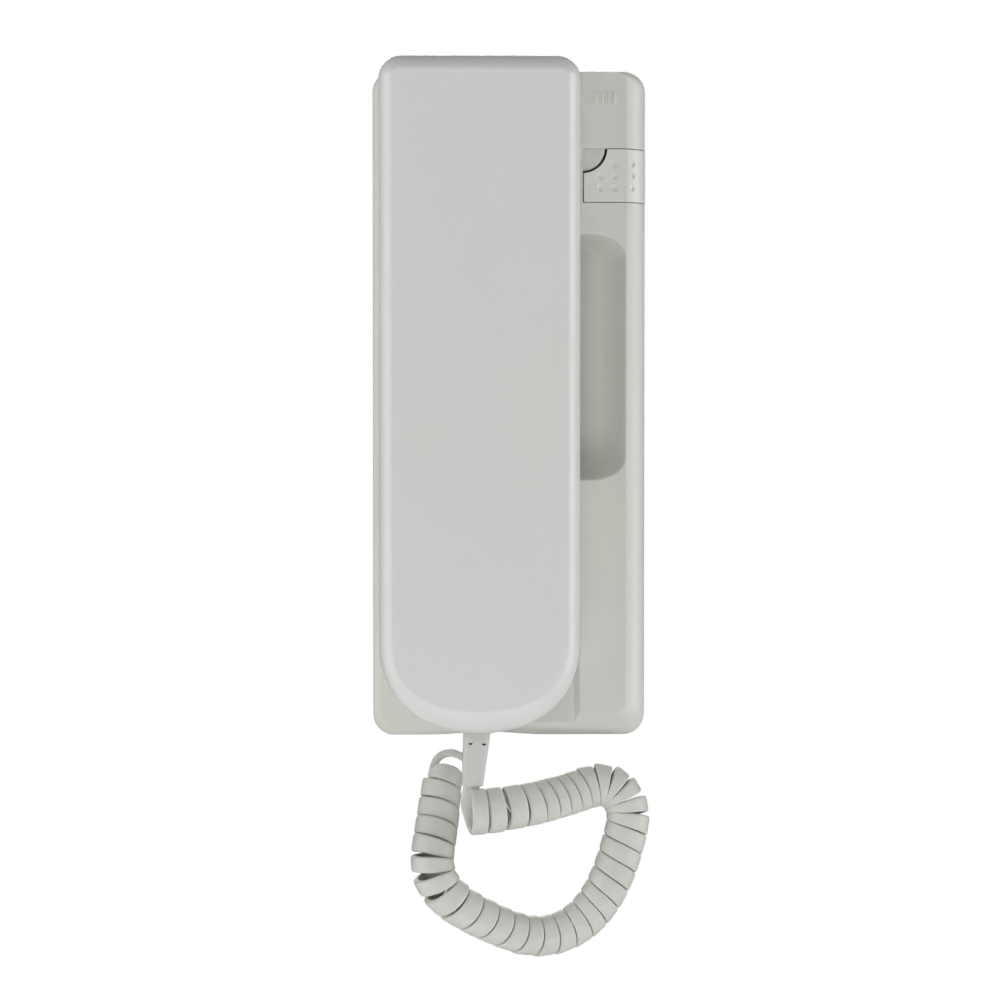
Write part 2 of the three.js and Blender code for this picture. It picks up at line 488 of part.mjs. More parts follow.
// ------------------------------------------------------------------- handset
const hsOutline = handsetOutline(6, 22);
const hsEdge = rim(HS_EDGE_SIDE, HS_EDGE_SIDE, HS_EDGE_TOP, HS_EDGE_BOTTOM);
const reliefSlot = () => boxS(-14.75, -5.35, RELIEF_Y + 4.4, RELIEF_Y - 4.4, -112, -96.4);
{
  const rings = [ring(hsOutline, () => 0, HS_PART)];
  for (const t of [0, 0.42, 0.72, 0.91, 1]) rings.push(ring(hsOutline, scaled(hsEdge, quarter(t)), HS_EDGE_Y + (HS_FRONT - HS_EDGE_Y) * t));
  const hollow = loft([
    ring(hsOutline, () => WALL, HS_PART + 1),
    ring(hsOutline, () => WALL, HS_EDGE_Y),
    ring(hsOutline, scaled(hsEdge, 0.22, WALL), HS_EDGE_Y - 3.2),
    ring(hsOutline, scaled(hsEdge, 0.6, WALL), HS_FRONT + WALL),
  ]);
  let s = cut(loft(rings), hollow);
  for (const z of HS_SCREWS) s = cut(join(s, rodY(HS_X, z, 3.6, -24.6, HS_FRONT + 1.5, 16)), rodY(HS_X, z, 1.7, -23, -40, 12));
  // ribs that press the receiver home
  s = join(s, boxS(HS_X - 12, HS_X - 10.8, -30.2, HS_FRONT + 1.5, EAR.z - 6, EAR.z + 6), boxS(HS_X + 10.8, HS_X + 12, -30.2, HS_FRONT + 1.5, EAR.z - 6, EAR.z + 6));
  s = join(s, boxS(HS_X - 3, HS_X + 3, -29.2, HS_FRONT + 1.5, MOUTH.z - 0.6, MOUTH.z + 0.6));
  s = cut(s, reliefSlot());
  add("handset_front_shell", s, { ...PLASTIC, color: 0xe4e4e2, roughness: 0.45 });
}
{
  const draft = rim(1, 1, 1, 1);
  const outer = loft([
    ring(hsOutline, scaled(draft, 3.4), HS_BACK),
    ring(hsOutline, scaled(draft, 2.0), HS_BACK - 0.7),
    ring(hsOutline, scaled(draft, 1.2), HS_BACK - 2.4),
    ring(hsOutline, scaled(draft, 0), HS_PART + GAP),
  ]);
  const hollow = loft([
    ring(hsOutline, scaled(draft, 3.8), HS_BACK - WALL),
    ring(hsOutline, scaled(draft, WALL), HS_PART - 1),
  ]);
  let s = join(
    outer,
    rodY(EAR.x, EAR.z, EAR.top, CAP_Y, HS_BACK - 0.5, 40, EAR.cap + 0.4),
    rodY(MOUTH.x, MOUTH.z, MOUTH.top, CAP_Y, HS_BACK - 0.5, 36, MOUTH.cap + 0.4),
  );
  s = cut(s, hollow, rodY(EAR.x, EAR.z, 17.4, -19.0, -26, 36), rodY(MOUTH.x, MOUTH.z, 12.6, -19.0, -26, 28));
  // sound holes
  const hole = (x, z) => rodY(x, z, 1.1, 0, -22, 8);
  s = cut(s, hole(EAR.x, EAR.z), hole(MOUTH.x, MOUTH.z));
  for (let i = 0; i < 6; i++) {
    const a = (i * Math.PI) / 3;
    s = cut(s, hole(EAR.x + 6.5 * Math.cos(a), EAR.z + 6.5 * Math.sin(a)));
    if (i % 2) s = cut(s, hole(MOUTH.x + 4.5 * Math.cos(a), MOUTH.z + 4.5 * Math.sin(a)));
  }
  for (const z of HS_SCREWS) s = cut(join(s, rodY(HS_X, z, 4.6, HS_BACK - 1, -24.3, 16)), rodY(HS_X, z, 3.1, 0, -22.6, 16), rodY(HS_X, z, 1.7, 0, -26, 12));
  s = cut(s, reliefSlot());
  add("handset_inner_shell", s, { ...PLASTIC, color: 0xe1e1de, roughness: 0.5 });
}
for (const [name, z] of [["handset_screw_upper", HS_SCREWS[0]], ["handset_screw_lower", HS_SCREWS[1]]]) {
  const s = cut(join(rodY(HS_X, z, 2.8, -21.0, -22.3, 16), rodY(HS_X, z, 1.3, -22.2, -36, 12)), boxS(HS_X - 4, HS_X + 4, -20, -21.6, z - 0.35, z + 0.35));
  add(name, s, { color: 0xc9c9c4, roughness: 0.35, metalness: 1 });
}
{
  let s = join(rodY(EAR.x, EAR.z, 16.4, -20.7, -24.4, 32), rodY(EAR.x, EAR.z, 13.6, -24.2, -29.4, 32));
  s = cut(s, rodY(EAR.x, EAR.z, 11, -19, -21.6, 28));
  add("receiver_capsule", s, { color: 0x3a3a3c, roughness: 0.45, metalness: 0.2 });
}
add("receiver_gasket", cut(rodY(EAR.x, EAR.z, 16.4, -19.4, -20.4, 32), rodY(EAR.x, EAR.z, 13.2, -18, -22, 28)), { color: 0x26241f, roughness: 0.9, metalness: 0 });
add("microphone_boot", cut(rodY(MOUTH.x, MOUTH.z, 7.4, -19.4, -27, 28), rodY(MOUTH.x, MOUTH.z, 5.1, -20.6, -28, 24), rodY(MOUTH.x, MOUTH.z, 3.2, -18, -22, 16)), { color: 0x1f1e1c, roughness: 0.9, metalness: 0 });
add("microphone_capsule", rodY(MOUTH.x, MOUTH.z, 4.8, -21.0, -28.2, 24), { color: 0xb9b9b5, roughness: 0.35, metalness: 1 });

// strain relief of the curly cord: a collar inside the handset and a tapered flat tail
{
  const tail = [];
  const sect = (w, d, cx, z) => {
    const r = Math.min(w, d) * 0.42, pts = [];
    for (const [sx, sy, a0] of [[1, 1, 0], [-1, 1, 1], [-1, -1, 2], [1, -1, 3]])
      for (let i = 0; i <= 3; i++) {
        const a = ((a0 + i / 3) * Math.PI) / 2;
        pts.push([cx + sx * (w / 2 - r) + r * Math.cos(a), RELIEF_Y + sy * (d / 2 - r) + r * Math.sin(a), z]);
      }
    return pts;
  };
  for (const [w, d, cx, z] of [[8.2, 8.0, -10.35, -97.9], [8.2, 8.0, -10.35, -101.5], [7.7, 6.6, -10.8, -107.4], [7.0, 5.0, -11.3, -113.4], [6.4, 3.8, -11.6, -117.4]])
    tail.push(sect(w, d, cx, z).map(([x, y, zz]) => [x, zz, y]));
  // skin the rings along Z
  const n = tail[0].length, position = [], index = [];
  for (const r of tail) for (const [x, zz, y] of r) position.push(x, y, zz);
  for (let k = 0; k + 1 < tail.length; k++)
    for (let i = 0; i < n; i++) {
      const j = (i + 1) % n;
      index.push(k * n + i, (k + 1) * n + j, k * n + j, k * n + i, (k + 1) * n + i, (k + 1) * n + j);
    }
  for (let i = 1; i + 1 < n; i++) {
    index.push(0, i, i + 1);
    const o = (tail.length - 1) * n;
    index.push(o, o + i + 1, o + i);
  }
  const g = new THREE.BufferGeometry();
  g.setAttribute("position", new THREE.BufferAttribute(new Float32Array(position), 3));
  g.setIndex(index);
  let s = solid(g);
  if (s.volume() < 0) {
    for (let i = 0; i < index.length; i += 3) [index[i + 1], index[i + 2]] = [index[i + 2], index[i + 1]];
    g.setIndex(index);
    s = solid(g);
  }
  s = join(s, boxS(-17.25, -2.85, RELIEF_Y + 5.4, RELIEF_Y - 5.4, -96.3, -94.5), boxS(-14.05, -6.65, RELIEF_Y + 3.4, RELIEF_Y - 3.4, -98.2, -94.8));
  add("strain_relief", s, { color: 0xdbd9cf, roughness: 0.55, metalness: 0 });
}
add("cord_coil", sweep(COIL_PATH, COIL_D, 34, 12), { color: 0xdbd8cc, roughness: 0.5, metalness: 0 });

export default phone;
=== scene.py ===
import math

import bmesh
import bpy
import numpy as np
from mathutils import Matrix, Vector


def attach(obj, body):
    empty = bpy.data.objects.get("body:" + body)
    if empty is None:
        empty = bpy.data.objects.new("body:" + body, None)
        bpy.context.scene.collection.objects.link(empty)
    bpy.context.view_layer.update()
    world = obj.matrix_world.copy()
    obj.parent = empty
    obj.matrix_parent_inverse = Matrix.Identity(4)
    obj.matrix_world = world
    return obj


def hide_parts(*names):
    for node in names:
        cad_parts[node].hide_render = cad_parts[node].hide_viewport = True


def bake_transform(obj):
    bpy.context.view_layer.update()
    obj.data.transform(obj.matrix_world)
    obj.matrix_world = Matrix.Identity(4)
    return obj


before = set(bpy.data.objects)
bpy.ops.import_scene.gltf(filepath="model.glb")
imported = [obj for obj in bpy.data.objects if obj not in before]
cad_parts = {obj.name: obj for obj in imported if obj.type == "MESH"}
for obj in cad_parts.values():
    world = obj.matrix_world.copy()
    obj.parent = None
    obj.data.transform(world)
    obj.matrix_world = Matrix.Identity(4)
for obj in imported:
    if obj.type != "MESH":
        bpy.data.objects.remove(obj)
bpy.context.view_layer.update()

MM = 0.001
scene = bpy.context.scene


# ------------------------------------------------------------------ the camera
def aim(obj, target):
    d = Vector(target) - obj.location
    obj.rotation_mode = "QUATERNION"
    obj.rotation_quaternion = d.to_track_quat("-Z", "Y")


cam_data = bpy.data.cameras.new("camera")
cam = bpy.data.objects.new("camera", cam_data)
scene.collection.objects.link(cam)
cam.location = (-0.018306, -0.757579, -0.010392)
cam_data.lens = 85.0
cam_data.sensor_width = 36.0
cam_data.sensor_fit = "HORIZONTAL"
cam_data.clip_start, cam_data.clip_end = 0.01, 50.0
cam_data.dof.use_dof = False
aim(cam, (-0.002605, -0.008, -0.030025))
scene.camera = cam


# --------------------------------------------------------------------- helpers
def new_object(name, verts, faces, smooth=True):
    """A mesh object from millimetre points."""
    me = bpy.data.meshes.new(name)
    me.from_pydata([(x * MM, y * MM, z * MM) for x, y, z in verts], [], faces)
    me.validate()
    me.update()
    ob = bpy.data.objects.new(name, me)
    scene.collection.objects.link(ob)
    me.polygons.foreach_set("use_smooth", [smooth] * len(me.polygons))
    face_outwards(ob)
    return ob


def face_outwards(ob):
    bm = bmesh.new()
    bm.from_mesh(ob.data)
    if bm.calc_volume(signed=True) < 0:
        bmesh.ops.reverse_faces(bm, faces=bm.faces[:])
    bm.to_mesh(ob.data)
    bm.free()
    ob.data.update()


def loft(name, rings, close=True):
    """A closed solid skinned over rings of (x, y, z) points that all have the same count."""
    n = len(rings[0])
    verts = [p for r in rings for p in r]
    faces = []
    for k in range(len(rings) - 1):
        for i in range(n):
            j = (i + 1) % n
            faces.append((k * n + i, k * n + j, (k + 1) * n + j, (k + 1) * n + i))
    if close:
        faces.append(tuple(reversed(range(n))))
        faces.append(tuple((len(rings) - 1) * n + i for i in range(n)))
    return new_object(name, verts, faces)


def lathe_y(name, cx, cz, profile, steps=96):
    """A solid turned about an axis along Y: profile is (radius, y) from one end to the other, starting and ending on the axis."""
    verts, faces, rows = [], [], []
    for r, y in profile:
        if r <= 1e-6:
            rows.append([len(verts)])
            verts.append((cx, y, cz))
        else:
            rows.append(list(range(len(verts), len(verts) + steps)))
            for i in range(steps):
                a = 2 * math.pi * i / steps
                verts.append((cx + r * math.cos(a), y, cz + r * math.sin(a)))
    for a, b in zip(rows, rows[1:]):
        for i in range(steps):
            j = (i + 1) % steps
            if len(a) == 1 and len(b) == 1:
                continue
            if len(a) == 1:
                faces.append((a[0], b[j], b[i]))
            elif len(b) == 1:
                faces.append((a[i], a[j], b[0]))
            else:
                faces.append((a[i], a[j], b[j], b[i]))
    return new_object(name, verts, faces)


def rod(name, x, z, r, y0, y1, steps=48, r1=None):
    r1 = r if r1 is None else r1
    return lathe_y(name, x, z, [(0, y0), (r, y0), (r1, y1), (0, y1)], steps)


def block(name, x0, x1, y0, y1, z0, z1, bevel=0.0, segments=3):
    bm = bmesh.new()
    bmesh.ops.create_cube(bm, size=1.0)
    for v in bm.verts:
        v.co = Vector(
            (
                (x0 + x1) / 2 + v.co.x * abs(x1 - x0),
                (y0 + y1) / 2 + v.co.y * abs(y1 - y0),
                (z0 + z1) / 2 + v.co.z * abs(z1 - z0),
            )
        )
    if bevel:
        bmesh.ops.bevel(
            bm,
            geom=bm.edges[:],
            offset=bevel,
            segments=segments,
            profile=0.5,
            affect="EDGES",
        )
    verts = [tuple(v.co) for v in bm.verts]
    faces = [tuple(v.index for v in f.verts) for f in bm.faces]
    bm.free()
    return new_object(name, verts, faces)


def prism(name, points, y0, y1):
    """An outline in XZ given thickness along Y."""
    return loft(name, [[(x, y0, z) for x, z in points], [(x, y1, z) for x, z in points]])


def prism_z(name, points, z0, z1):
    """An outline in XY given height along Z."""
    return loft(name, [[(x, y, z0) for x, y in points], [(x, y, z1) for x, y in points]])


def bake_modifiers(ob):
    dg = bpy.context.evaluated_depsgraph_get()
    dg.update()
    me = bpy.data.meshes.new_from_object(ob.evaluated_get(dg), depsgraph=dg)
    old = ob.data
    ob.modifiers.clear()
    ob.data = me
    if old.users == 0:
        bpy.data.meshes.remove(old)
    return ob


def drop(ob):
    me = ob.data
    bpy.data.objects.remove(ob)
    if me.users == 0:
        bpy.data.meshes.remove(me)


def boolean(a, operation, *others):
    for b in others:
        m = a.modifiers.new("b", "BOOLEAN")
        m.operation = operation
        m.object = b
        m.solver = "MANIFOLD"
        before = len(a.data.polygons)
        bake_modifiers(a)
        if len(a.data.polygons) == 0:
            raise RuntimeError(f"{a.name}: {operation} with {b.name} left nothing of {before} faces")
    for b in others:
        drop(b)
    return a


def cut(a, *others):
    return boolean(a, "DIFFERENCE", *others)


def join(a, *others):
    return boolean(a, "UNION", *others)


def common(a, *others):
    return boolean(a, "INTERSECT", *others)


def bevel(ob, width, segments=3, angle=35.0):
    m = ob.modifiers.new("bevel", "BEVEL")
    m.width = width * MM
    m.segments = segments
    m.limit_method = "ANGLE"
    m.angle_limit = math.radians(angle)
    m.use_clamp_overlap = True
    m.miter_outer = "MITER_ARC"
    return bake_modifiers(ob)


def polish(ob, sharp=32.0):
    """Smooth shading, kept crisp at edges over that angle, with the flat faces staying flat."""
    me = ob.data
    bm = bmesh.new()
    bm.from_mesh(me)
    bmesh.ops.remove_doubles(bm, verts=bm.verts[:], dist=2e-7)
    bmesh.ops.dissolve_degenerate(bm, dist=1e-7, edges=bm.edges[:])
    bm.normal_update()
    limit = math.radians(sharp)
    for f in bm.faces:
        f.smooth = True
    for e in bm.edges:
        e.smooth = not (len(e.link_faces) != 2 or e.calc_face_angle(0.0) > limit)
    bm.to_mesh(me)
    bm.free()
    me.update()
    m = ob.modifiers.new("flat faces stay flat", "WEIGHTED_NORMAL")
    m.mode = "FACE_AREA"
    m.keep_sharp = True
    m.weight = 60
    return ob


def ease(t):
    return t * t * (3 - 2 * t)


# ------------------------------------------------------------------- materials
def principled(name):
    mat = bpy.data.materials.new(name)
    mat.use_nodes = True
    nt = mat.node_tree
    nt.nodes.clear()
    out = nt.nodes.new("ShaderNodeOutputMaterial")
    bsdf = nt.nodes.new("ShaderNodeBsdfPrincipled")
    nt.links.new(bsdf.outputs["BSDF"], out.inputs["Surface"])
    co = nt.nodes.new("ShaderNodeTexCoord")
    return mat, nt, bsdf, co.outputs["Object"]


def noise(nt, vector, scale, detail=2.0, rough=0.5, stretch=None):
    n = nt.nodes.new("ShaderNodeTexNoise")
    n.inputs["Scale"].default_value = scale
    n.inputs["Detail"].default_value = detail
    n.inputs["Roughness"].default_value = rough
    if stretch:
        m = nt.nodes.new("ShaderNodeMapping")
        m.inputs["Scale"].default_value = stretch
        nt.links.new(vector, m.inputs["Vector"])
        vector = m.outputs["Vector"]
    nt.links.new(vector, n.inputs["Vector"])
    return n.outputs["Fac"]


def ramp(nt, fac, stops):
    r = nt.nodes.new("ShaderNodeValToRGB")
    els = r.color_ramp.elements
    while len(els) < len(stops):
        els.new(0.5)
    for e, (p, c) in zip(els, stops):
        e.position = p
        e.color = (*c, 1.0) if len(c) == 3 else c
    nt.links.new(fac, r.inputs["Fac"])
    return r.outputs["Color"]


def mixed(nt, fac, a, b, blend="MIX"):
    m = nt.nodes.new("ShaderNodeMix")
    m.data_type = "RGBA"
    m.blend_type = blend
    if isinstance(fac, (int, float)):
        m.inputs[0].default_value = fac
    else:
        nt.links.new(fac, m.inputs[0])
    for i, c in ((6, a), (7, b)):
        if isinstance(c, tuple):
            m.inputs[i].default_value = (*c, 1.0)
        else:
            nt.links.new(c, m.inputs[i])
    return m.outputs[2]


def spread(nt, fac, low, high, a=0.0, b=1.0):
    m = nt.nodes.new("ShaderNodeMapRange")
    m.inputs["From Min"].default_value = a
    m.inputs["From Max"].default_value = b
    m.inputs["To Min"].default_value = low
    m.inputs["To Max"].default_value = high
    nt.links.new(fac, m.inputs["Value"])
    return m.outputs["Result"]


def bump(nt, bsdf, height, distance, strength=1.0, previous=None):
    b = nt.nodes.new("ShaderNodeBump")
    b.inputs["Strength"].default_value = strength
    b.inputs["Distance"].default_value = distance
    nt.links.new(height, b.inputs["Height"])
    if previous is not None:
        nt.links.new(previous, b.inputs["Normal"])
    nt.links.new(b.outputs["Normal"], bsdf.inputs["Normal"])
    return b.outputs["Normal"]


def linear(rgb):
    return tuple(
        (c / 255 / 12.92) if c / 255 <= 0.04045 else (((c / 255) + 0.055) / 1.055) ** 2.4
        for c in rgb
    )


def moulded(name, rgb, rough=0.42, grain=1.0, tint=0.03, aged=None, sss=0.0, dust=0.35):
    """Injection-moulded ABS: a fine satin grain, faint cloudiness in the colour, and slight hazing of the gloss."""
    mat, nt, bsdf, co = principled(name)
    base = linear(rgb)
    dark = tuple(c * (1 - tint) for c in base)
    light = tuple(min(1.0, c * (1 + tint * 0.6)) for c in base)
    cloud = noise(nt, co, 16.0, 4.0, 0.55)
    colour = ramp(nt, cloud, [(0.3, dark), (0.5, base), (0.72, light)])
    if aged:
        # light-struck yellowing in broad soft patches
        patch = noise(nt, co, 9.0, 2.0, 0.5)
        colour = mixed(nt, spread(nt, patch, 0.0, 0.55, 0.42, 0.68), colour, linear(aged))
    speck = noise(nt, co, 1500.0, 1.0, 0.5)
    colour = mixed(
        nt,
        spread(nt, speck, 0.0, 0.5 * dust, 0.66, 0.8),
        colour,
        tuple(c * 0.72 for c in base),
    )
    nt.links.new(colour, bsdf.inputs["Base Color"])
    haze = noise(nt, co, 42.0, 5.0, 0.6)
    nt.links.new(spread(nt, haze, rough - 0.05, rough + 0.07, 0.3, 0.7), bsdf.inputs["Roughness"])
    bsdf.inputs["IOR"].default_value = 1.5
    if sss:
        bsdf.inputs["Subsurface Weight"].default_value = sss
        bsdf.inputs["Subsurface Radius"].default_value = (1.0, 0.85, 0.7)
        bsdf.inputs["Subsurface Scale"].default_value = 0.0006
    fine = noise(nt, co, 2600.0, 2.0, 0.6)
    n1 = bump(nt, bsdf, fine, 0.00002 * grain, 0.35)
    sink = noise(nt, co, 60.0, 2.0, 0.4)
    bump(nt, bsdf, sink, 0.00005, 0.25, n1)
    return mat


def brushed(name, rgb, rough=0.3, axis=(1, 1, 60), tarnish=None, metal=1.0):
    mat, nt, bsdf, co = principled(name)
    base = linear(rgb)
    streak = noise(nt, co, 160.0, 4.0, 0.6, stretch=axis)
    colour = ramp(
        nt,
        streak,
        [(0.3, tuple(c * 0.78 for c in base)), (0.55, base), (0.75, tuple(min(1, c * 1.12) for c in base))],
    )
    if tarnish:
        spot = noise(nt, co, 260.0, 3.0, 0.6)
        colour = mixed(nt, spread(nt, spot, 0.0, 0.7, 0.52, 0.72), colour, linear(tarnish))
    nt.links.new(colour, bsdf.inputs["Base Color"])
    nt.links.new(spread(nt, streak, rough - 0.08, rough + 0.14, 0.3, 0.7), bsdf.inputs["Roughness"])
    bsdf.inputs["Metallic"].default_value = metal
    bump(nt, bsdf, streak, 0.00003, 0.4)
    return mat


def laminate(name):
    """Paper-phenolic board: brown core with a printed green-black mask, traces and holes shown as a fine net."""
    mat, nt, bsdf, co = principled(name)
    fibre = noise(nt, co, 220.0, 5.0, 0.6, stretch=(1, 1, 5))
    core = ramp(nt, fibre, [(0.3, linear((140, 96, 46))), (0.7, linear((186, 138, 74)))])
    brick = nt.nodes.new("ShaderNodeTexBrick")
    brick.inputs["Scale"].default_value = 62.0
    brick.inputs["Mortar Size"].default_value = 0.055
    brick.inputs["Mortar Smooth"].default_value = 0.25
    brick.inputs["Brick Width"].default_value = 0.62
    brick.inputs["Row Height"].default_value = 0.3
    m = nt.nodes.new("ShaderNodeMapping")
    m.inputs["Rotation"].default_value = (math.radians(90), 0, 0)
    nt.links.new(co, m.inputs["Vector"])
    nt.links.new(m.outputs["Vector"], brick.inputs["Vector"])
    nt.links.new(
        mixed(nt, spread(nt, brick.outputs["Fac"], 0.0, 0.8), core, linear((116, 118, 62))),
        bsdf.inputs["Base Color"],
    )
    nt.links.new(spread(nt, fibre, 0.38, 0.6), bsdf.inputs["Roughness"])
    bump(nt, bsdf, brick.outputs["Fac"], 0.00004, 0.6)
    return mat


def foam(name, rgb):
    mat, nt, bsdf, co = principled(name)
    cell = nt.nodes.new("ShaderNodeTexVoronoi")
    cell.inputs["Scale"].default_value = 1900.0
    nt.links.new(co, cell.inputs["Vector"])
    base = linear(rgb)
    # painted shade: the pits at the cell centres, where the bump sinks, are darkened to stand for shadow inside the
    # pores
    nt.links.new(
        ramp(nt, cell.outputs["Distance"], [(0.05, tuple(c * 0.35 for c in base)), (0.55, base)]),
        bsdf.inputs["Base Color"],
    )
    nt.links.new(spread(nt, cell.outputs["Distance"], 0.95, 0.8), bsdf.inputs["Roughness"])
    bump(nt, bsdf, cell.outputs["Distance"], 0.0002, 0.8)
    return mat


def cord_vinyl(name, rgb, rgb_dirty):
    """Soft PVC of the curly cord: satin, a little translucent, with a fine lengthwise drag and some grime."""
    mat, nt, bsdf, co = principled(name)
    base, dirty = linear(rgb), linear(rgb_dirty)
    cloud = noise(nt, co, 55.0, 4.0, 0.6)
    colour = ramp(nt, cloud, [(0.3, tuple(c * 0.95 for c in base)), (0.55, base), (0.75, tuple(min(1, c * 1.03) for c in base))])
    grime = noise(nt, co, 190.0, 5.0, 0.65)
    colour = mixed(nt, spread(nt, grime, 0.0, 0.35, 0.55, 0.78), colour, dirty)
    nt.links.new(colour, bsdf.inputs["Base Color"])
    nt.links.new(spread(nt, grime, 0.4, 0.55, 0.3, 0.7), bsdf.inputs["Roughness"])
    bsdf.inputs["Subsurface Weight"].default_value = 0.12
    bsdf.inputs["Subsurface Radius"].default_value = (1.0, 0.85, 0.65)
    bsdf.inputs["Subsurface Scale"].default_value = 0.0008
    drag = noise(nt, co, 1300.0, 3.0, 0.6)
    bump(nt, bsdf, drag, 0.00004, 0.3)
    return mat


BASE = moulded("base_abs", (226, 226, 220), 0.43, 1.0, 0.012, aged=(221, 220, 209))
HANDSET = moulded("handset_abs", (232, 232, 231), 0.36, 0.8, 0.010, aged=(230, 230, 226))
BUTTON = moulded("button_abs", (231, 231, 226), 0.40, 0.9, 0.012, aged=(227, 226, 217))
PLATE = moulded("plate_abs", (214, 211, 201), 0.55, 1.6, 0.02, aged=(206, 200, 184))
CORD = cord_vinyl("cord_pvc", (221, 220, 214), (196, 193, 183))
RELIEF = moulded("relief_pvc", (210, 209, 205), 0.46, 1.3, 0.014, aged=(205, 203, 194), sss=0.08)
PLUG = moulded("plug_polycarbonate", (226, 224, 216), 0.16, 0.4, 0.01)
BLACK = moulded("black_plastic", (38, 38, 40), 0.45, 1.4, 0.12)
RECEIVER = moulded("receiver_shell", (52, 52, 54), 0.4, 1.2, 0.1)
TERMINAL = moulded("terminal_polyamide", (58, 92, 70), 0.5, 1.5, 0.08)
PLUNGER = moulded("acetal", (232, 230, 222), 0.3, 0.5, 0.01, sss=0.1)
SLEEVE = moulded("capacitor_sleeve", (40, 58, 96), 0.35, 0.6, 0.06)
STEEL = brushed("zinc_plated_steel", (196, 198, 196), 0.34, (1, 60, 1), tarnish=(150, 146, 132))
BRASS = brushed("contact_brass", (206, 168, 82), 0.28, (1, 1, 40), tarnish=(136, 98, 44))
LAMINATED = brushed("transformer_iron", (104, 102, 96), 0.5, (1, 120, 1), tarnish=(92, 66, 48), metal=0.75)
CAN = brushed("microphone_can", (190, 190, 186), 0.3, (40, 1, 1))
BOARD = laminate("circuit_laminate")
FOAM = foam("rubber_foam", (52, 50, 46))


def dress(ob, material):
    ob.data.materials.clear()
    ob.data.materials.append(material)
    return ob


# --------------------------------------------------------------- the curly cord
# the middle line of the coil at each whole winding: winding number, x, y, z (mm)
WINDINGS = [
    (-0.35, -14.53, -33.6, -125.65), (0, -12.06, -33.4, -125.51), (1, -6.46, -33.0, -125.10),
    (2, -0.64, -32.1, -124.41), (3, 6.18, -31.2, -123.43), (4, 10.95, -30.1, -122.57),
    (5, 14.78, -29.0, -121.72), (6, 18.18, -28.0, -120.95), (7, 21.34, -27.0, -120.11),
    (8, 24.51, -26.1, -119.23), (9, 27.68, -25.2, -118.62), (10, 30.83, -24.7, -118.96),
    (11, 33.64, -24.2, -120.76), (12, 35.87, -24.1, -123.85), (13, 36.92, -24.0, -127.73),
    (14, 36.53, -24.1, -132.25), (15, 35.16, -24.3, -137.55), (16, 33.50, -24.4, -143.01),
    (17, 31.49, -24.7, -148.03), (18, 29.03, -25.1, -152.75), (19, 26.33, -25.4, -156.59),
    (20, 23.36, -25.9, -159.66), (21, 19.75, -26.5, -162.17), (22, 15.43, -27.0, -164.04),
    (23, 10.68, -27.5, -164.91), (24, 5.52, -28.1, -164.59), (25, 0.47, -28.6, -163.14),
    (26, -4.60, -28.8, -161.08), (27, -9.87, -29.0, -158.52), (28, -15.35, -28.5, -155.36),
    (29, -20.22, -28.0, -151.26), (30, -23.21, -26.4, -146.49), (31, -24.00, -23.8, -141.18),
    (32, -23.33, -20.6, -135.77), (33, -22.47, -17.2, -130.51), (34, -21.79, -13.6, -125.19),
    (35, -20.94, -10.4, -119.70), (35.7, -20.50, -9.0, -116.58),
]
OUTER_R = [(-0.4, 6.9), (0, 7.0), (3, 6.65), (9, 6.4), (13, 6.66), (17, 6.66), (22, 6.25), (27, 6.32), (30, 6.74), (34, 6.56), (35.2, 6.2), (35.7, 5.8)]
# how far the front of each winding leads its two sides along the run
LEANING = [(-0.4, 0.2), (0.5, 0.4), (1, 1.0), (2, 1.6), (3, 2.1), (8, 2.1), (9, 1.8), (10, 0.8), (12, 0.3), (13, -0.4), (18, -0.6), (20, -1.2), (22, -2.1), (27, -2.2), (28, -1.5), (29, -0.4), (30, 0.8), (31, 1.5), (32, 2.1), (35.7, 2.2)]
# how far the windings lean over sideways along the run
SHEAR = [(-0.4, -0.3), (0.5, -0.6), (2, -1.0), (8, -1.1), (10, -0.8), (12, -0.2), (14, 0.2), (20, 0.2), (23, 0.0), (36, 0.0)]
# the ribbon's width where its neighbours leave room
WIDTH = [(-0.4, 5.0), (1, 5.0), (2, 5.3), (3.5, 6.1), (9.5, 6.1), (10.5, 5.0), (13, 5.0), (14, 6.1), (29, 6.1), (29.6, 5.0), (31.2, 5.0), (31.9, 6.1), (36, 6.1)]
RIBBON_T = 2.2
SPLIT_K = 23.0  # where the half that goes with the handset meets the half that hangs from the base


def spline(xs, ys):
    """Smooth curve through points, by finite-difference tangents."""
    xs, ys = np.array(xs, float), np.array(ys, float)
    if ys.ndim == 1:
        ys = ys[:, None]
    d = np.diff(ys, axis=0) / np.diff(xs)[:, None]
    h = np.diff(xs)
    m = np.empty_like(ys)
    m[0], m[-1] = d[0], d[-1]
    m[1:-1] = (d[:-1] * h[1:, None] + d[1:] * h[:-1, None]) / (h[:-1] + h[1:])[:, None]

    def f(q):
        q = np.atleast_1d(np.asarray(q, float))
        i = np.clip(np.searchsorted(xs, q, "right") - 1, 0, len(xs) - 2)
        w = h[i]
        t = ((q - xs[i]) / w)[:, None]
        w = w[:, None]
        return (
            (2 * t**3 - 3 * t**2 + 1) * ys[i]
            + (t**3 - 2 * t**2 + t) * w * m[i]
            + (-2 * t**3 + 3 * t**2) * ys[i + 1]
            + (t**3 - t**2) * w * m[i + 1]
        )

    return f


centre_at = spline([w[0] for w in WINDINGS], [w[1:] for w in WINDINGS])
radius_at = spline([r[0] for r in OUTER_R], [r[1] for r in OUTER_R])
lean_at = spline([r[0] for r in LEANING], [r[1] for r in LEANING])
shear_at = spline([r[0] for r in SHEAR], [r[1] for r in SHEAR])


def unit(v):
    return v / np.maximum(np.linalg.norm(v, axis=-1, keepdims=True), 1e-12)


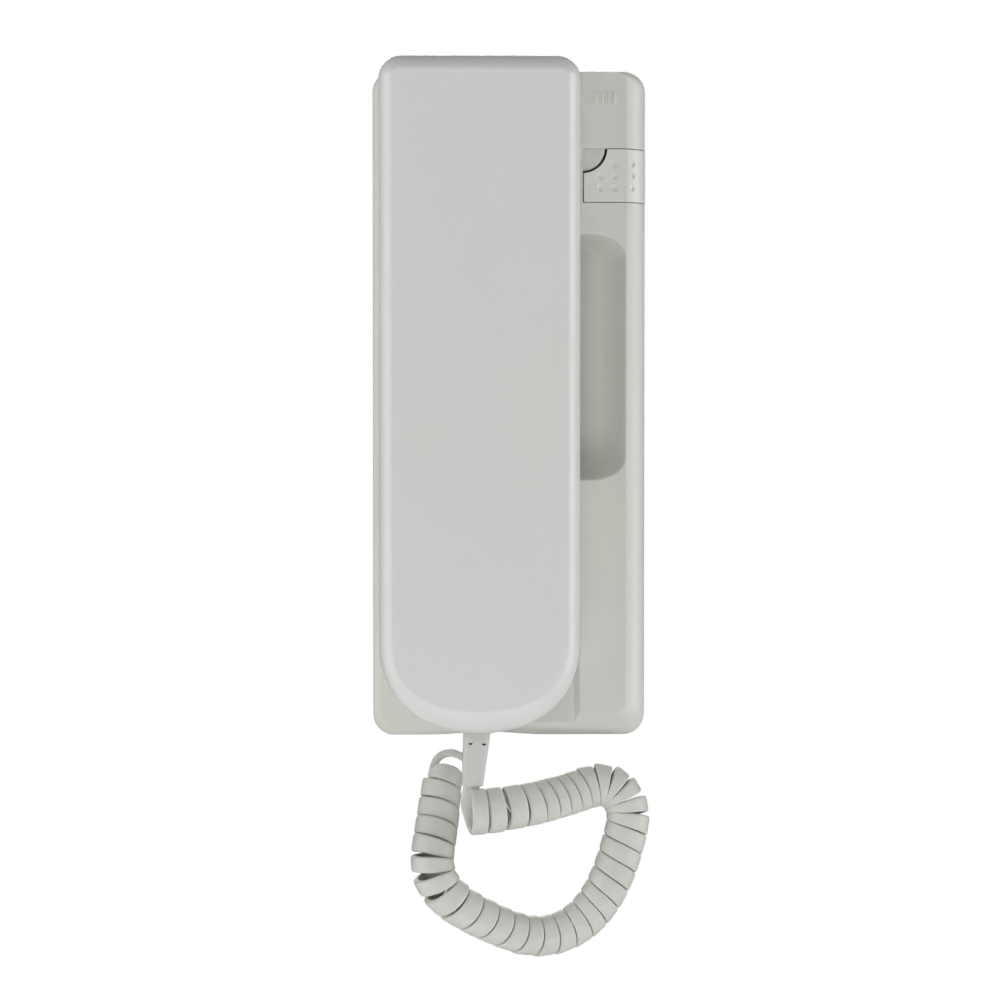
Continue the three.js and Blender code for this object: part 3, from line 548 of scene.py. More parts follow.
def helix(k):
    """Points of the ribbon's middle at winding numbers k, and the direction straight out of the coil there."""
    k = np.atleast_1d(np.asarray(k, float))
    kk = np.clip(k, WINDINGS[0][0], WINDINGS[-1][0])
    c = centre_at(kk)
    T = centre_at(np.clip(kk + 0.15, WINDINGS[0][0], WINDINGS[-1][0])) - centre_at(np.clip(kk - 0.15, WINDINGS[0][0], WINDINGS[-1][0]))
    T[:, 1] = 0.0
    T = unit(T)
    r = radius_at(kk) - RIBBON_T / 2
    lean = lean_at(kk)
    U = unit(np.cross(np.array([[0.0, -1.0, 0.0]]), T))
    W = T * (lean / r) + np.array([[0.0, -1.0, 0.0]]) * np.sqrt(1 - (lean / r) ** 2)
    theta = math.radians(270) - 2 * math.pi * k
    out = np.cos(theta)[:, None] * U + np.sin(theta)[:, None] * W
    along = shear_at(kk) * np.cos(theta)[:, None] - lean + 1.5 * T[:, 2:3] * np.abs(T[:, 2:3])
    face = unit(out - np.sum(out * T, axis=1, keepdims=True) * T)
    turned = np.clip(kk - 29.0, 0.0, 1.0)[:, None]
    return c + T * along + out * r, unit((1 - turned) * face + turned * out)


def hermite(p0, t0, p1, t1, n):
    s = np.linspace(0, 1, n)[:, None]
    return (
        (2 * s**3 - 3 * s**2 + 1) * p0
        + (s**3 - 2 * s**2 + s) * t0
        + (-2 * s**3 + 3 * s**2) * p1
        + (s**3 - s**2) * t1
    )


PER_TURN = 44
K0, K1 = 0.0, 35.52
ks = np.linspace(K0, K1, int((K1 - K0) * PER_TURN))
P, N = helix(ks)
tangent = unit(np.gradient(P, axis=0))
flat = unit(N - np.sum(N * tangent, axis=1, keepdims=True) * tangent)
across = np.cross(flat, tangent)
ahead, _ = helix(np.minimum(ks + 1, WINDINGS[-1][0] + 0.0))
behind, _ = helix(np.maximum(ks - 1, WINDINGS[0][0]))
gap_next = np.where(ks + 1 <= WINDINGS[-1][0], np.abs(np.sum((ahead - P) * across, axis=1)), 99.0)
gap_prev = np.where(ks - 1 >= WINDINGS[0][0], np.abs(np.sum((behind - P) * across, axis=1)), 99.0)
half_full = np.interp(ks, [w[0] for w in WIDTH], [w[1] / 2 for w in WIDTH])
half_next = np.clip(gap_next * 0.485, 0.9, half_full)
half_prev = np.clip(gap_prev * 0.485, 0.9, half_full)

# from the strain relief down into the first winding
tip = np.array([-11.6, -33.0, -116.2])
n_in = 26
lead_in = hermite(tip, np.array([-0.8, 1.5, -7.5]), P[0], tangent[0] * 9.0, n_in)[:-1]
n0 = np.array([0.0, -1.0, 0.0])
w_in = ease(np.linspace(0, 1, n_in))[:-1, None]
normal_in = unit((1 - w_in) * np.array([[0.0, 1.0, 0.0]]) + w_in * N[0])

# from the last winding up, over and into the plug
LEAD = np.array([
    (-23.95, -10.9, -115.5), (-23.3, -9.9, -113.55), (-22.41, -9.3, -112.11), (-21.26, -9.0, -111.1),
    (-19.7, -9.0, -110.46), (-17.92, -9.0, -110.34), (-16.14, -9.0, -110.85), (-14.4, -9.0, -111.75),
    (-12.4, -8.9, -112.6), (-10.9, -8.8, -112.0), (-9.8, -8.8, -110.3), (-8.9, -8.8, -107.9),
    (-8.4, -8.8, -105.4), (-8.3, -8.8, -103.2),
])
lead_len = np.concatenate([[0], np.cumsum(np.linalg.norm(np.diff(LEAD, axis=0), axis=1))])
lead_curve = spline(lead_len, LEAD)
n_out = 110
arc = lead_curve(np.linspace(0, lead_len[-1], n_out))
arc_t = unit(np.gradient(arc, axis=0))
peel = hermite(P[-1], tangent[-1] * 5.2, arc[0], arc_t[0] * 4.4, 20)[1:-1]
peel_w = ease(np.linspace(0, 1, 20))[1:-1, None]
arc_n = np.stack([-arc_t[:, 2], np.zeros(n_out), arc_t[:, 0]], axis=1)
twist = np.clip((np.linspace(0, 1, n_out) - 0.52) / 0.33, 0, 1)
twist = ease(twist) * math.pi / 2
arc_n = np.cos(twist)[:, None] * arc_n + np.sin(twist)[:, None] * np.array([[0.0, 1.0, 0.0]])
peel_n = unit((1 - peel_w) * N[-1] + peel_w * arc_n[0])

cord_p = np.concatenate([lead_in, P, peel, arc])
cord_n = np.concatenate([normal_in, N, peel_n, arc_n])
m0, m1, m2 = len(lead_in), len(P), len(peel)
half_a = np.concatenate([np.full(m0, 2.45), half_prev, np.full(m2, 2.3), np.full(n_out, 2.05)])
half_b = np.concatenate([np.full(m0, 2.45), half_next, np.full(m2, 2.3), np.full(n_out, 2.05)])
thick = np.concatenate([np.full(m0, RIBBON_T), np.full(m1, RIBBON_T), np.full(m2, 2.25), np.full(n_out, 2.35)])


def smooth_run(a, width):
    kernel = np.ones(width) / width
    padded = np.concatenate([np.full(width // 2, a[0]), a, np.full(width - 1 - width // 2, a[-1])])
    return np.convolve(padded, kernel, "valid")


half_a, half_b, thick = smooth_run(half_a, 9), smooth_run(half_b, 9), smooth_run(thick, 15)
SECTION = []
for i in range(20):
    a = 2 * math.pi * (i + 0.5) / 20
    ca, sa = math.cos(a), math.sin(a)
    SECTION.append((math.copysign(abs(ca) ** 0.32, ca), math.copysign(abs(sa) ** 0.52, sa)))


def ribbon(name, i0, i1):
    """The flat cord between two rings of the run, closed at both ends. Returns the piece and its line."""
    p = cord_p[i0 : i1 + 1]
    t = unit(np.gradient(cord_p, axis=0))[i0 : i1 + 1]
    n = cord_n[i0 : i1 + 1]
    n = unit(n - np.sum(n * t, axis=1, keepdims=True) * t)
    b = np.cross(n, t)
    rings = []
    for q in range(len(p)):
        ring = []
        for u, v in SECTION:
            w = half_a[i0 + q] if u < 0 else half_b[i0 + q]
            ring.append(tuple(p[q] + b[q] * (u * w) * side + n[q] * (v * thick[i0 + q] / 2)))
        rings.append(ring)
    ob = loft(name, rings)
    return ob, [tuple(x * MM for x in row) for row in p]


# which way across the ribbon the next winding lies
probe = m0 + m1 // 2
t_probe = unit(np.gradient(cord_p, axis=0))[probe]
n_probe = cord_n[probe] - np.dot(cord_n[probe], t_probe) * t_probe
towards_next = helix(ks[m1 // 2] + 1)[0][0] - P[m1 // 2]
side = 1.0 if np.dot(np.cross(n_probe, t_probe), towards_next) > 0 else -1.0

split = m0 + int(np.argmin(np.abs(ks - SPLIT_K)))
cord_upper, path_upper = ribbon("curly_cord_handset_half", 0, split)
cord_lower, path_lower = ribbon("curly_cord_base_half", split, len(cord_p) - 1)
for ob in (cord_upper, cord_lower):
    dress(ob, CORD)
    polish(ob, 50)


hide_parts("cord_coil")
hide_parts("cord_lead", "cord_coil")
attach(cord_upper, "handset")
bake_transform(cord_lower)

# ------------------------------------------------------------------- dimensions
BASE_HALF_W, BASE_HALF_H, BASE_R, WALL = 42.6, 103.95, 6.5, 2.2
DECK_Y, CRADLE_Y, STEP_X, EDGE_Y = -24.0, -20.0, 21.3, -16.0
EDGE_RIGHT, EDGE_LEFT, EDGE_TOP, EDGE_BOTTOM = 6.4, 2.2, 1.2, 8.2
ARCH_X, ARCH_HALF, ARCH_RISE = -6.75, 18.1, 0.9
WELL_Y = -16.6
EAR = dict(x=-9.5, z=70.0, well=24.2, cap=22.6, top=18.4)
MOUTH = dict(x=-9.5, z=-66.0, well=22.2, cap=20.6, top=16.4)
CAP_Y = -17.3
SCOOP_FLOOR_Y = -12.5
SCOOP = dict(left=5.0, right=35.95, top=53.0, bottom=-23.3)
BTN = dict(x0=23.05, z0=62.85, z1=79.15, nx=22.75, nz=79.4, nr=7.6)
PAD_R = 6.9
COVER_SCREW = (-9.5, -14.0)
HOOK = (-9.5, 22.0)
PLUG_X, PLUG_Z0 = -8.3, -104.4
HS_X, HS_HALF_W, HS_TOP, HS_R = -9.5, 30.6, 105.4, 7.0
HS_BEND_Z, HS_BEND_B, HS_BEND_P = -71.0, 29.2, 2.3
HS_FRONT, HS_EDGE_Y, HS_PART, HS_BACK = -46.0, -39.6, -31.5, -20.3
HS_SIDE, HS_EDGE_TOP, HS_EDGE_BOTTOM = 4.0, 4.9, 7.0
HS_SCREWS = (38.0, -32.0)
RELIEF_Y = -33.0


def eased_edge(steps, crease=62.0):
    """(share of the depth, share of the width) of a rounded rim that meets the face at a slight crease."""
    m = math.radians(crease)
    out = []
    for i in range(steps + 1):
        a = m * i / steps
        out.append((math.sin(a) / math.sin(m), (1 - math.cos(a)) / (1 - math.cos(m))))
    return out


# ----------------------------------------------------------- front cover, base
def cover_ring(R, L, T, B, y, arch=1.0, seg=18):
    """One level of the cover's outside, drawn in by that much on each side."""
    right, left = BASE_HALF_W - R, -BASE_HALF_W + L
    top, bottom = BASE_HALF_H - T, -BASE_HALF_H + B
    pts = []

    def corner(cx, cz, r, a0):
        for i in range(seg + 1):
            a = a0 + i / seg * math.pi / 2
            pts.append((cx + r * math.cos(a), y, cz + r * math.sin(a)))

    def r_of(h, hm, v, vm):
        q = 0.5 * (h / hm + v / vm)
        return BASE_R * (1 - q) + 2.2 * q

    r = r_of(R, EDGE_RIGHT, T, EDGE_TOP)
    corner(right - r, top - r, r, 0)
    r = r_of(L, EDGE_LEFT, T, EDGE_TOP)
    corner(left + r, top - r, r, math.pi / 2)
    r = r_of(L, EDGE_LEFT, B, EDGE_BOTTOM)
    corner(left + r, bottom + r, r, math.pi)
    for i in range(25):
        u = -1 + 2 * i / 24
        pts.append((ARCH_X + ARCH_HALF * u, y, bottom + ARCH_RISE * arch * 0.5 * (1 + math.cos(math.pi * u))))
    r = r_of(R, EDGE_RIGHT, B, EDGE_BOTTOM)
    corner(right - r, bottom + r, r, 3 * math.pi / 2)
    return pts


def edge_right(y):
    """How far the right rim has drawn in at that depth."""
    v = (EDGE_Y - y) / (EDGE_Y - DECK_Y)
    if v <= 0:
        return 0.0
    m = math.radians(62)
    a = math.asin(min(1.0, v) * math.sin(m))
    return EDGE_RIGHT * (1 - math.cos(a)) / (1 - math.cos(m))


def edge_top(y):
    return EDGE_TOP * edge_right(y) / EDGE_RIGHT


def chamfer(y, y0, y1, width, soft):
    """A flat slope between y0 at the side and y1 at the face, rounded into the side over a distance."""
    t = (y0 - y) / (y0 - y1)
    if t <= 0:
        return 0.0
    k = soft / abs(y0 - y1)
    if t < k:
        return width * t * t / (2 * k) / (1 - k / 2)
    return width * (t - k / 2) / (1 - k / 2)


def edge_left(y):
    return min(EDGE_LEFT, chamfer(y, -17.0, CRADLE_Y, EDGE_LEFT, 1.6))


def edge_bottom(y):
    return chamfer(y, -13.6, DECK_Y, EDGE_BOTTOM, 3.0)


levels = [-0.6, -6.0, -12.0, -13.6, -13.9, -14.3, -14.8, -15.3, -16.0, -16.5, -17.0]
levels += [-17.3, -17.6, -18.0, -18.4, -18.8, -19.3, -19.75, -20.0, -20.25, -20.8, -21.3, -21.8, -22.2, -22.6, -22.9, -23.2, -23.5, -23.75, -23.9, -24.0]
cover = loft(
    "front_cover_shell",
    [cover_ring(edge_right(y), edge_left(y), edge_top(y), edge_bottom(y), y, arch=max(0.0, 1 - edge_bottom(y) / EDGE_BOTTOM)) for y in levels],
)


def rounded_profile(points, radii, steps=6):
    """A polyline in 2D with its corners rounded."""
    out = []
    n = len(points)
    for i in range(n):
        p, r = np.array(points[i], float), radii[i]
        if r <= 0 or i in (0, n - 1):
            out.append(tuple(p))
            continue
        a, b = np.array(points[i - 1], float), np.array(points[i + 1], float)
        u, v = (a - p) / np.linalg.norm(a - p), (b - p) / np.linalg.norm(b - p)
        half = math.acos(max(-1, min(1, float(np.dot(u, v))))) / 2
        d = min(r / math.tan(half), 0.49 * np.linalg.norm(a - p), 0.49 * np.linalg.norm(b - p))
        r = d * math.tan(half)
        centre = p + (u + v) / np.linalg.norm(u + v) * (r / math.sin(half))
        s, e = p + u * d, p + v * d
        a0, a1 = math.atan2(*(s - centre)[::-1]), math.atan2(*(e - centre)[::-1])
        da = (a1 - a0 + math.pi) % (2 * math.pi) - math.pi
        for k in range(steps + 1):
            t = a0 + da * k / steps
            out.append((centre[0] + r * math.cos(t), centre[1] + r * math.sin(t)))
    return out


# the cradle: everything left of the step, down to the floor that the handset lies on
step_profile = rounded_profile(
    [(-60, CRADLE_Y), (20.25, CRADLE_Y), (22.0, DECK_Y), (26, DECK_Y - 0.003)],
    [0, 0.9, 1.1, 0],
    8,
)
cradle = prism_z("cradle", step_profile + [(26, -40), (-60, -40)], -120, 120)


def scoop_ring(inset, y, grow=0.0, seg=16):
    L, R = SCOOP["left"] + inset * 3 - grow, SCOOP["right"] - inset * 8.6 + grow
    T, B = SCOOP["top"] - inset * 5.2 + grow, SCOOP["bottom"] + inset * 5.2 - grow
    k = 1 - 0.35 * inset
    pts = []

    def arc(cx, cz, rx, rz, a0):
        for i in range(seg + 1):
            a = a0 + i / seg * math.pi / 2
            pts.append((cx + rx * math.cos(a), y, cz + rz * math.sin(a)))

    g = grow
    arc(R - (11 * k + g), T - (7.4 * k + g), 11 * k + g, 7.4 * k + g, 0)
    arc(L + 4 * k + g, T - 4 * k - g, 4 * k + g, 4 * k + g, math.pi / 2)
    arc(L + 4 * k + g, B + 4 * k + g, 4 * k + g, 4 * k + g, math.pi)
    arc(R - (11 * k + g), B + 7.0 * k + g, 11 * k + g, 7.0 * k + g, 3 * math.pi / 2)
    return pts


def scoop(name, grow, front, lip=0.0):
    """The hollow beside the handset: steep at the brim, hollowed out towards a flat floor."""
    depth = [(1.0, -12.5), (0.85, -12.72), (0.72, -13.12), (0.62, -13.62), (0.52, -14.3), (0.43, -15.1), (0.36, -16.0), (0.29, -17.0), (0.22, -18.2), (0.15, -19.6), (0.1, -20.8), (0.05, -22.2)]
    rings = [scoop_ring(i, y + grow, grow) for i, y in depth]
    if lip:
        for k in range(7):
            a = k / 6 * math.pi / 2
            g = lip * (1 - math.cos(a))
            rings.append(scoop_ring(0.0, DECK_Y + lip * (1 - math.sin(a)) - (0.004 if k == 6 else 0), grow + g))
        rings.append(scoop_ring(0.0, front, grow + lip + 0.01))
    else:
        rings.append(scoop_ring(0.0, DECK_Y - 0.4, grow))
        rings.append(scoop_ring(0.0, front, grow))
    return loft(name, rings)


def rounded_rect(hw, hh, r, y, seg=6):
    pts = []
    for cx, cz, a0 in ((hw - r, hh - r, 0), (-hw + r, hh - r, 1), (-hw + r, -hh + r, 2), (hw - r, -hh + r, 3)):
        for i in range(seg + 1):
            a = (a0 + i / seg) * math.pi / 2
            pts.append((cx + r * math.cos(a), cz + r * math.sin(a), math.cos(a), math.sin(a)))
    return pts


def drawn_in(outline, right, left, top, bottom, plus, y):
    out = []
    for x, z, nx, nz in outline:
        d = (right if nx > 0 else left) * nx * nx + (top if nz > 0 else bottom) * nz * nz + plus
        out.append((x - nx * d, y, z - nz * d))
    return out


inner = rounded_rect(BASE_HALF_W - WALL, BASE_HALF_H - WALL, BASE_R - WALL, 0)
hollow = loft(
    "hollow",
    [
        drawn_in(inner, 0, 0, 0, 0, 0, 1.0),
        drawn_in(inner, 0, 0, 0, 0, 0, -12.6),
        drawn_in(inner, 1.65, 0.55, 1.15, 2.4, 0, -15.6),
        drawn_in(inner, 3.63, 1.4, 2.53, 4.6, 0, CRADLE_Y + WALL),
    ],
)
join(hollow, block("strip_hollow", STEP_X + WALL, 34.2, -14, DECK_Y + WALL, -93.5, 97.5))
cut(
    hollow,
    scoop("scoop_wall", WALL, DECK_Y - 1),
    rod("ear_wall", EAR["x"], EAR["z"], EAR["well"] + WALL, WELL_Y + WALL, -30, 96),
    rod("mouth_wall", MOUTH["x"], MOUTH["z"], MOUTH["well"] + WALL, WELL_Y + WALL, -30, 96),
    rod("post_wall", COVER_SCREW[0], COVER_SCREW[1], 5, -15.3, -30, 32),
)


def well_cutter(name, w):
    r0 = w["well"] - 0.8

    def r_at(y):
        return r0 + 5.1 * (WELL_Y - y) / 23.4

    prof = [(0, WELL_Y), (r0 - 1.2, WELL_Y)]
    for k in range(1, 7):  # soft foot of the wall
        a = k / 6 * math.pi / 2
        prof.append((r0 - 1.2 + 1.3 * math.sin(a), WELL_Y - 1.2 * (1 - math.cos(a))))
    prof.append((r_at(CRADLE_Y + 0.8), CRADLE_Y + 0.8))
    for k in range(1, 7):  # eased brim
        a = k / 6 * math.pi / 2
        prof.append((r_at(CRADLE_Y + 0.8) + 0.8 * (1 - math.cos(a)), CRADLE_Y + 0.8 - 0.8 * math.sin(a) - (0.004 if k == 6 else 0)))
    prof += [(prof[-1][0] + 0.02, -40), (0, -40)]
    return lathe_y(name, w["x"], w["z"], prof, 160)


cut(cover, cradle, hollow, scoop("scoop", 0, -40, lip=0.7))
cut(cover, well_cutter("ear_well", EAR), well_cutter("mouth_well", MOUTH))
cut(
    cover,
    rod("screw_recess", COVER_SCREW[0], COVER_SCREW[1], 3.8, -17.6, -30, 48),
    rod("screw_hole", COVER_SCREW[0], COVER_SCREW[1], 1.8, -10, -30, 32),
    block("hook_hole", HOOK[0] - 3.4, HOOK[0] + 3.4, -10, -30, HOOK[1] - 3.4, HOOK[1] + 3.4, 0.0),
    block("jack_mouth", PLUG_X - 4.4, PLUG_X + 4.4, -4.7, -12.9, -112, -100, 0.0),
)
slot_box = block("button_slot", BTN["nx"], 50, -12, -40, BTN["z0"] - 0.25, BTN["nz"])
# the fixed quarter-round pad in the corner of the slot, gently dished
pad = lathe_y(
    "pad",
    BTN["nx"],
    BTN["nz"],
    [(0, -21.8), (PAD_R, -21.8)]
    + [(PAD_R - 0.35 + 0.35 * math.cos(a), -22.95 - 0.35 * math.sin(a)) for a in (0, 0.4, 0.8, 1.2, math.pi / 2)]
    + [(r, -23.3 + 0.55 * (1 - (r / 6.4) ** 2)) for r in (6.0, 5.0, 4.0, 3.0, 2.0, 1.0)]
    + [(0, -22.75)],
    96,
)
cut(slot_box, pad)
cut(cover, slot_box)


# five plain ribs near the top of the strip, in front of the sounder
def rib(name, x):
    rings = []
    for k in range(6):
        a = k / 5 * math.pi / 2
        h, s = 0.35 * math.sin(a), 0.28 * (1 - math.cos(a))
        y = DECK_Y - h if k else DECK_Y + 0.4
        hw, hh = 0.45 - s, 2.0 - s
        pts = []
        for j in range(16):
            t = 2 * math.pi * (j + 0.5) / 16
            cx, cz = math.cos(t), math.sin(t)
            pts.append((x + hw * math.copysign(abs(cx) ** 0.5, cx), y, 95.0 + hh * math.copysign(abs(cz) ** 0.35, cz)))
        rings.append(pts)
    return loft(name, rings)


join(cover, *[rib(f"rib{i}", 25.0 + i * 1.9) for i in range(5)])
polish(cover, 30)
dress(cover, BASE)
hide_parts("front_cover")
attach(cover, "base")

# ------------------------------------------------------------------ door button
prof = [(BTN["x0"], DECK_Y - 0.35)]
ys = [-24.0, -23.85, -23.6, -23.3, -22.9, -22.4, -21.8, -21.0, -20.2, -19.2, -18.0, -17.0, -16.0]
for y in ys:
    prof.append((BASE_HALF_W - 0.05 - edge_right(y) + 0.15, y - 0.32))
prof += [(BASE_HALF_W + 0.1, -14.3), (BASE_HALF_W - 1.85, -14.3), (BASE_HALF_W - 1.85, -16.4)]
for y in (-18.0, -19.6, -21.4, -22.6):
    prof.append((BASE_HALF_W - 0.05 - edge_right(y) - 1.7, y + 1.2))
prof += [(BTN["x0"] + 11.5, DECK_Y + 1.7), (BTN["x0"], DECK_Y + 1.7)]
button = prism_z("door_button_cap", prof, BTN["z0"], BTN["z1"])
cut(button, rod("notch", BTN["nx"], BTN["nz"], BTN["nr"], -10, -40, 96))
bevel(button, 0.3, 3, 38)


def dimple(name, x, y, z, r, depth, axis=(0, -1, 0)):
    """A bowl cutter: a ball whose cap sinks that deep, with its brim eased."""
    R = (r * r + depth * depth) / (2 * depth)
    a = Vector(axis).normalized()
    bm = bmesh.new()
    bmesh.ops.create_uvsphere(bm, u_segments=28, v_segments=20, radius=R)
    c = Vector((x, y, z)) + a * (R - depth)
    verts = [tuple(v.co + c) for v in bm.verts]
    faces = [tuple(v.index for v in f.verts) for f in bm.faces]
    bm.free()
    return new_object(name, verts, faces)


face_y = DECK_Y - 0.35
cut(
    button,
    *[
        dimple(f"d{i}", x, face_y, z, 1.25, 0.6)
        for i, (x, z) in enumerate([(32.7, 74.6), (28.4, 70.9), (32.7, 70.9), (28.4, 67.2), (32.7, 67.2)])
    ],
)
bev = 38.3
bev_y = -23.2
cut(
    button,
    *[dimple(f"e{i}", bev, bev_y, z, 0.95, 0.5, (0.35, -1, 0)) for i, z in enumerate((74.6, 70.9, 67.2))],
)
join(button, rod("stem", 28, 70.7, 1.5, -12.9, DECK_Y + 1.2, 32))
polish(button, 34)
dress(button, BUTTON)
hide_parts("door_button")
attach(button, "door_button")


# --------------------------------------------------------------------- handset
def handset_outline(seg=20, bend=150):
    out = []
    hw, r = HS_HALF_W, HS_R
    for cx, cz, a0 in ((hw - r, HS_TOP - r, 0), (-hw + r, HS_TOP - r, math.pi / 2)):
        for i in range(seg + 1):
            a = a0 + i / seg * math.pi / 2
            out.append((HS_X + cx + r * math.cos(a), cz + r * math.sin(a), math.cos(a), math.sin(a)))
    for i in range(bend + 1):
        t = math.pi + i / bend * math.pi
        c, s, e = math.cos(t), math.sin(t), 2 / HS_BEND_P
        x = hw * math.copysign(abs(c) ** e, c)
        z = HS_BEND_B * math.copysign(abs(s) ** e, s)
        nx = math.copysign(abs(x / hw) ** (HS_BEND_P - 1), x) / hw
        nz = math.copysign(abs(z / HS_BEND_B) ** (HS_BEND_P - 1), z) / HS_BEND_B
        n = math.hypot(nx, nz)
        out.append((HS_X + x, HS_BEND_Z + z, nx / n, nz / n))
    return out


OUTLINE = handset_outline()


def hs_ring(share, y, plus=0.0, draft=None):
    if draft is not None:
        return drawn_in(OUTLINE, draft, draft, draft, draft, 0.0, y)
    return drawn_in(OUTLINE, HS_SIDE * share, HS_SIDE * share, HS_EDGE_TOP * share, HS_EDGE_BOTTOM * share, plus, y)


DEEP = HS_FRONT - HS_EDGE_Y
rings = [hs_ring(0, HS_PART, 0.25), hs_ring(0, HS_PART - 0.08, 0.08), hs_ring(0, HS_PART - 0.25), hs_ring(0, -35.5)]
for v, u in eased_edge(16):
    rings.append(hs_ring(u, HS_EDGE_Y + DEEP * v))
rings.append(hs_ring(1.0, HS_FRONT, 0.5))
shell = loft("handset_front", rings)
hollow = loft(
    "hs_hollow",
    [hs_ring(0, HS_PART + 1, WALL), hs_ring(0, HS_EDGE_Y, WALL), hs_ring(0.22, HS_EDGE_Y - 3.2, WALL), hs_ring(0.6, HS_FRONT + WALL, WALL)],
)
cut(shell, hollow)
for z in HS_SCREWS:
    join(shell, rod("boss", HS_X, z, 3.6, -24.6, HS_FRONT + 1.5, 32))
    cut(shell, rod("bore", HS_X, z, 1.7, -23, -40, 24))
join(
    shell,
    block("r1", HS_X - 12, HS_X - 10.8, -30.2, HS_FRONT + 1.5, EAR["z"] - 6, EAR["z"] + 6),
    block("r2", HS_X + 10.8, HS_X + 12, -30.2, HS_FRONT + 1.5, EAR["z"] - 6, EAR["z"] + 6),
    block("r3", HS_X - 3, HS_X + 3, -29.2, HS_FRONT + 1.5, MOUTH["z"] - 0.6, MOUTH["z"] + 0.6),
)
cut(shell, block("relief_slot", -14.75, -5.35, RELIEF_Y + 4.4, RELIEF_Y - 4.4, -112, -96.4))
polish(shell, 40)
dress(shell, HANDSET)
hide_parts("handset_front_shell")
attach(shell, "handset")

inner_rings = [
    hs_ring(0, HS_BACK, draft=3.9),
    hs_ring(0, HS_BACK - 0.06, draft=3.35),
    hs_ring(0, HS_BACK - 0.25, draft=2.75),
    hs_ring(0, HS_BACK - 0.7, draft=2.1),
    hs_ring(0, HS_BACK - 1.4, draft=1.6),
    hs_ring(0, HS_BACK - 2.4, draft=1.2),
    hs_ring(0, -27.0, draft=0.55),
    hs_ring(0, HS_PART + 0.55, draft=0.05),
    hs_ring(0, HS_PART + 0.38, draft=0.1),
    hs_ring(0, HS_PART + 0.3, draft=0.3),
]
inside = loft("handset_inner", inner_rings)
cut(inside, loft("in_hollow", [hs_ring(0, HS_BACK - WALL, draft=3.8), hs_ring(0, HS_PART - 1, draft=WALL)]))


def cap_solid(name, w):
    """The round ear or mouth cap, with an eased brim."""
    prof = [(0, HS_BACK - 0.5), (w["cap"] + 0.4, HS_BACK - 0.5)]
    run, rise = w["cap"] + 0.4 - w["top"], CAP_Y - (HS_BACK - 0.5)
    for t in (0.25, 0.5, 0.7):
        prof.append((w["cap"] + 0.4 - run * t, HS_BACK - 0.5 + rise * t))
    for t, q in ((0.82, 0.84), (0.92, 0.935), (1.02, 0.985), (1.15, 1.0)):
        prof.append((w["cap"] + 0.4 - run * t, HS_BACK - 0.5 + rise * q))
    prof.append((0, CAP_Y))
    return lathe_y(name, w["x"], w["z"], prof, 128)


join(inside, cap_solid("ear_cap", EAR), cap_solid("mouth_cap", MOUTH))
cut(
    inside,
    rod("ear_cup", EAR["x"], EAR["z"], 17.4, -19.0, -26, 96),
    rod("mouth_cup", MOUTH["x"], MOUTH["z"], 12.6, -19.0, -26, 96),
)


def sound_hole(name, x, z):
    return lathe_y(name, x, z, [(0, 0), (1.6, 0), (1.6, CAP_Y + 0.01), (1.35, CAP_Y - 0.08), (1.15, CAP_Y - 0.3), (1.1, CAP_Y - 0.5), (1.1, -22), (0, -22)], 28)


holes = [sound_hole("h", EAR["x"], EAR["z"]), sound_hole("h", MOUTH["x"], MOUTH["z"])]
for i in range(6):
    a = i * math.pi / 3
    holes.append(sound_hole("h", EAR["x"] + 6.5 * math.cos(a), EAR["z"] + 6.5 * math.sin(a)))
    if i % 2:
        holes.append(sound_hole("h", MOUTH["x"] + 4.5 * math.cos(a), MOUTH["z"] + 4.5 * math.sin(a)))
cut(inside, *holes)
for z in HS_SCREWS:
    join(inside, rod("boss", HS_X, z, 4.6, HS_BACK - 1, -24.3, 32))
    cut(inside, rod("head", HS_X, z, 3.1, 0, -22.6, 40), rod("bore", HS_X, z, 1.7, 0, -26, 24))
cut(inside, block("relief_slot", -14.75, -5.35, RELIEF_Y + 4.4, RELIEF_Y - 4.4, -112, -96.4))
polish(inside, 34)
dress(inside, HANDSET)
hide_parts("handset_inner_shell")
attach(inside, "handset")


# ---------------------------------------------------------------- strain relief
def relief_section(w, d, cx, z, power=0.5, n=56):
    pts = []
    for i in range(n):
        a = 2 * math.pi * (i + 0.5) / n
        c, s = math.cos(a), math.sin(a)
        pts.append((cx + w / 2 * math.copysign(abs(c) ** power, c), RELIEF_Y + d / 2 * math.copysign(abs(s) ** power, s), z))
    return pts


sizes = spline([-117.4, -113.4, -107.4, -101.5, -97.9], [(6.4, 3.8, -11.6), (7.0, 5.0, -11.3), (7.7, 6.6, -10.8), (8.2, 8.0, -10.35), (8.2, 8.0, -10.35)])
rings = []
for z in np.concatenate([np.linspace(-97.9, -101.5, 5), np.linspace(-102.2, -116.9, 26)]):
    w, d, cx = sizes(z)[0]
    rings.append(relief_section(w, d, cx, z, 0.46))
for k in range(1, 6):
    a = k / 5 * math.pi / 2
    rings.append(relief_section(6.45 - 0.9 * (1 - math.cos(a)), 3.95 - 0.9 * (1 - math.cos(a)), -11.6, -116.9 - 0.5 * math.sin(a), 0.46))
relief = loft("cord_strain_relief", rings)
join(
    relief,
    block("collar", -17.25, -2.85, RELIEF_Y + 5.4, RELIEF_Y - 5.4, -96.3, -94.5, 0.3),
    block("neck", -14.05, -6.65, RELIEF_Y + 3.4, RELIEF_Y - 3.4, -98.2, -94.8),
)


def small_slot(name, x, z, hw, hh, y0, y1):
    pts = []
    for j in range(20):
        t = 2 * math.pi * (j + 0.5) / 20
        c, s = math.cos(t), math.sin(t)
        pts.append((x + hw * math.copysign(abs(c) ** 0.6, c), z + hh * math.copysign(abs(s) ** 0.6, s)))
    return prism(name, pts, y0, y1)


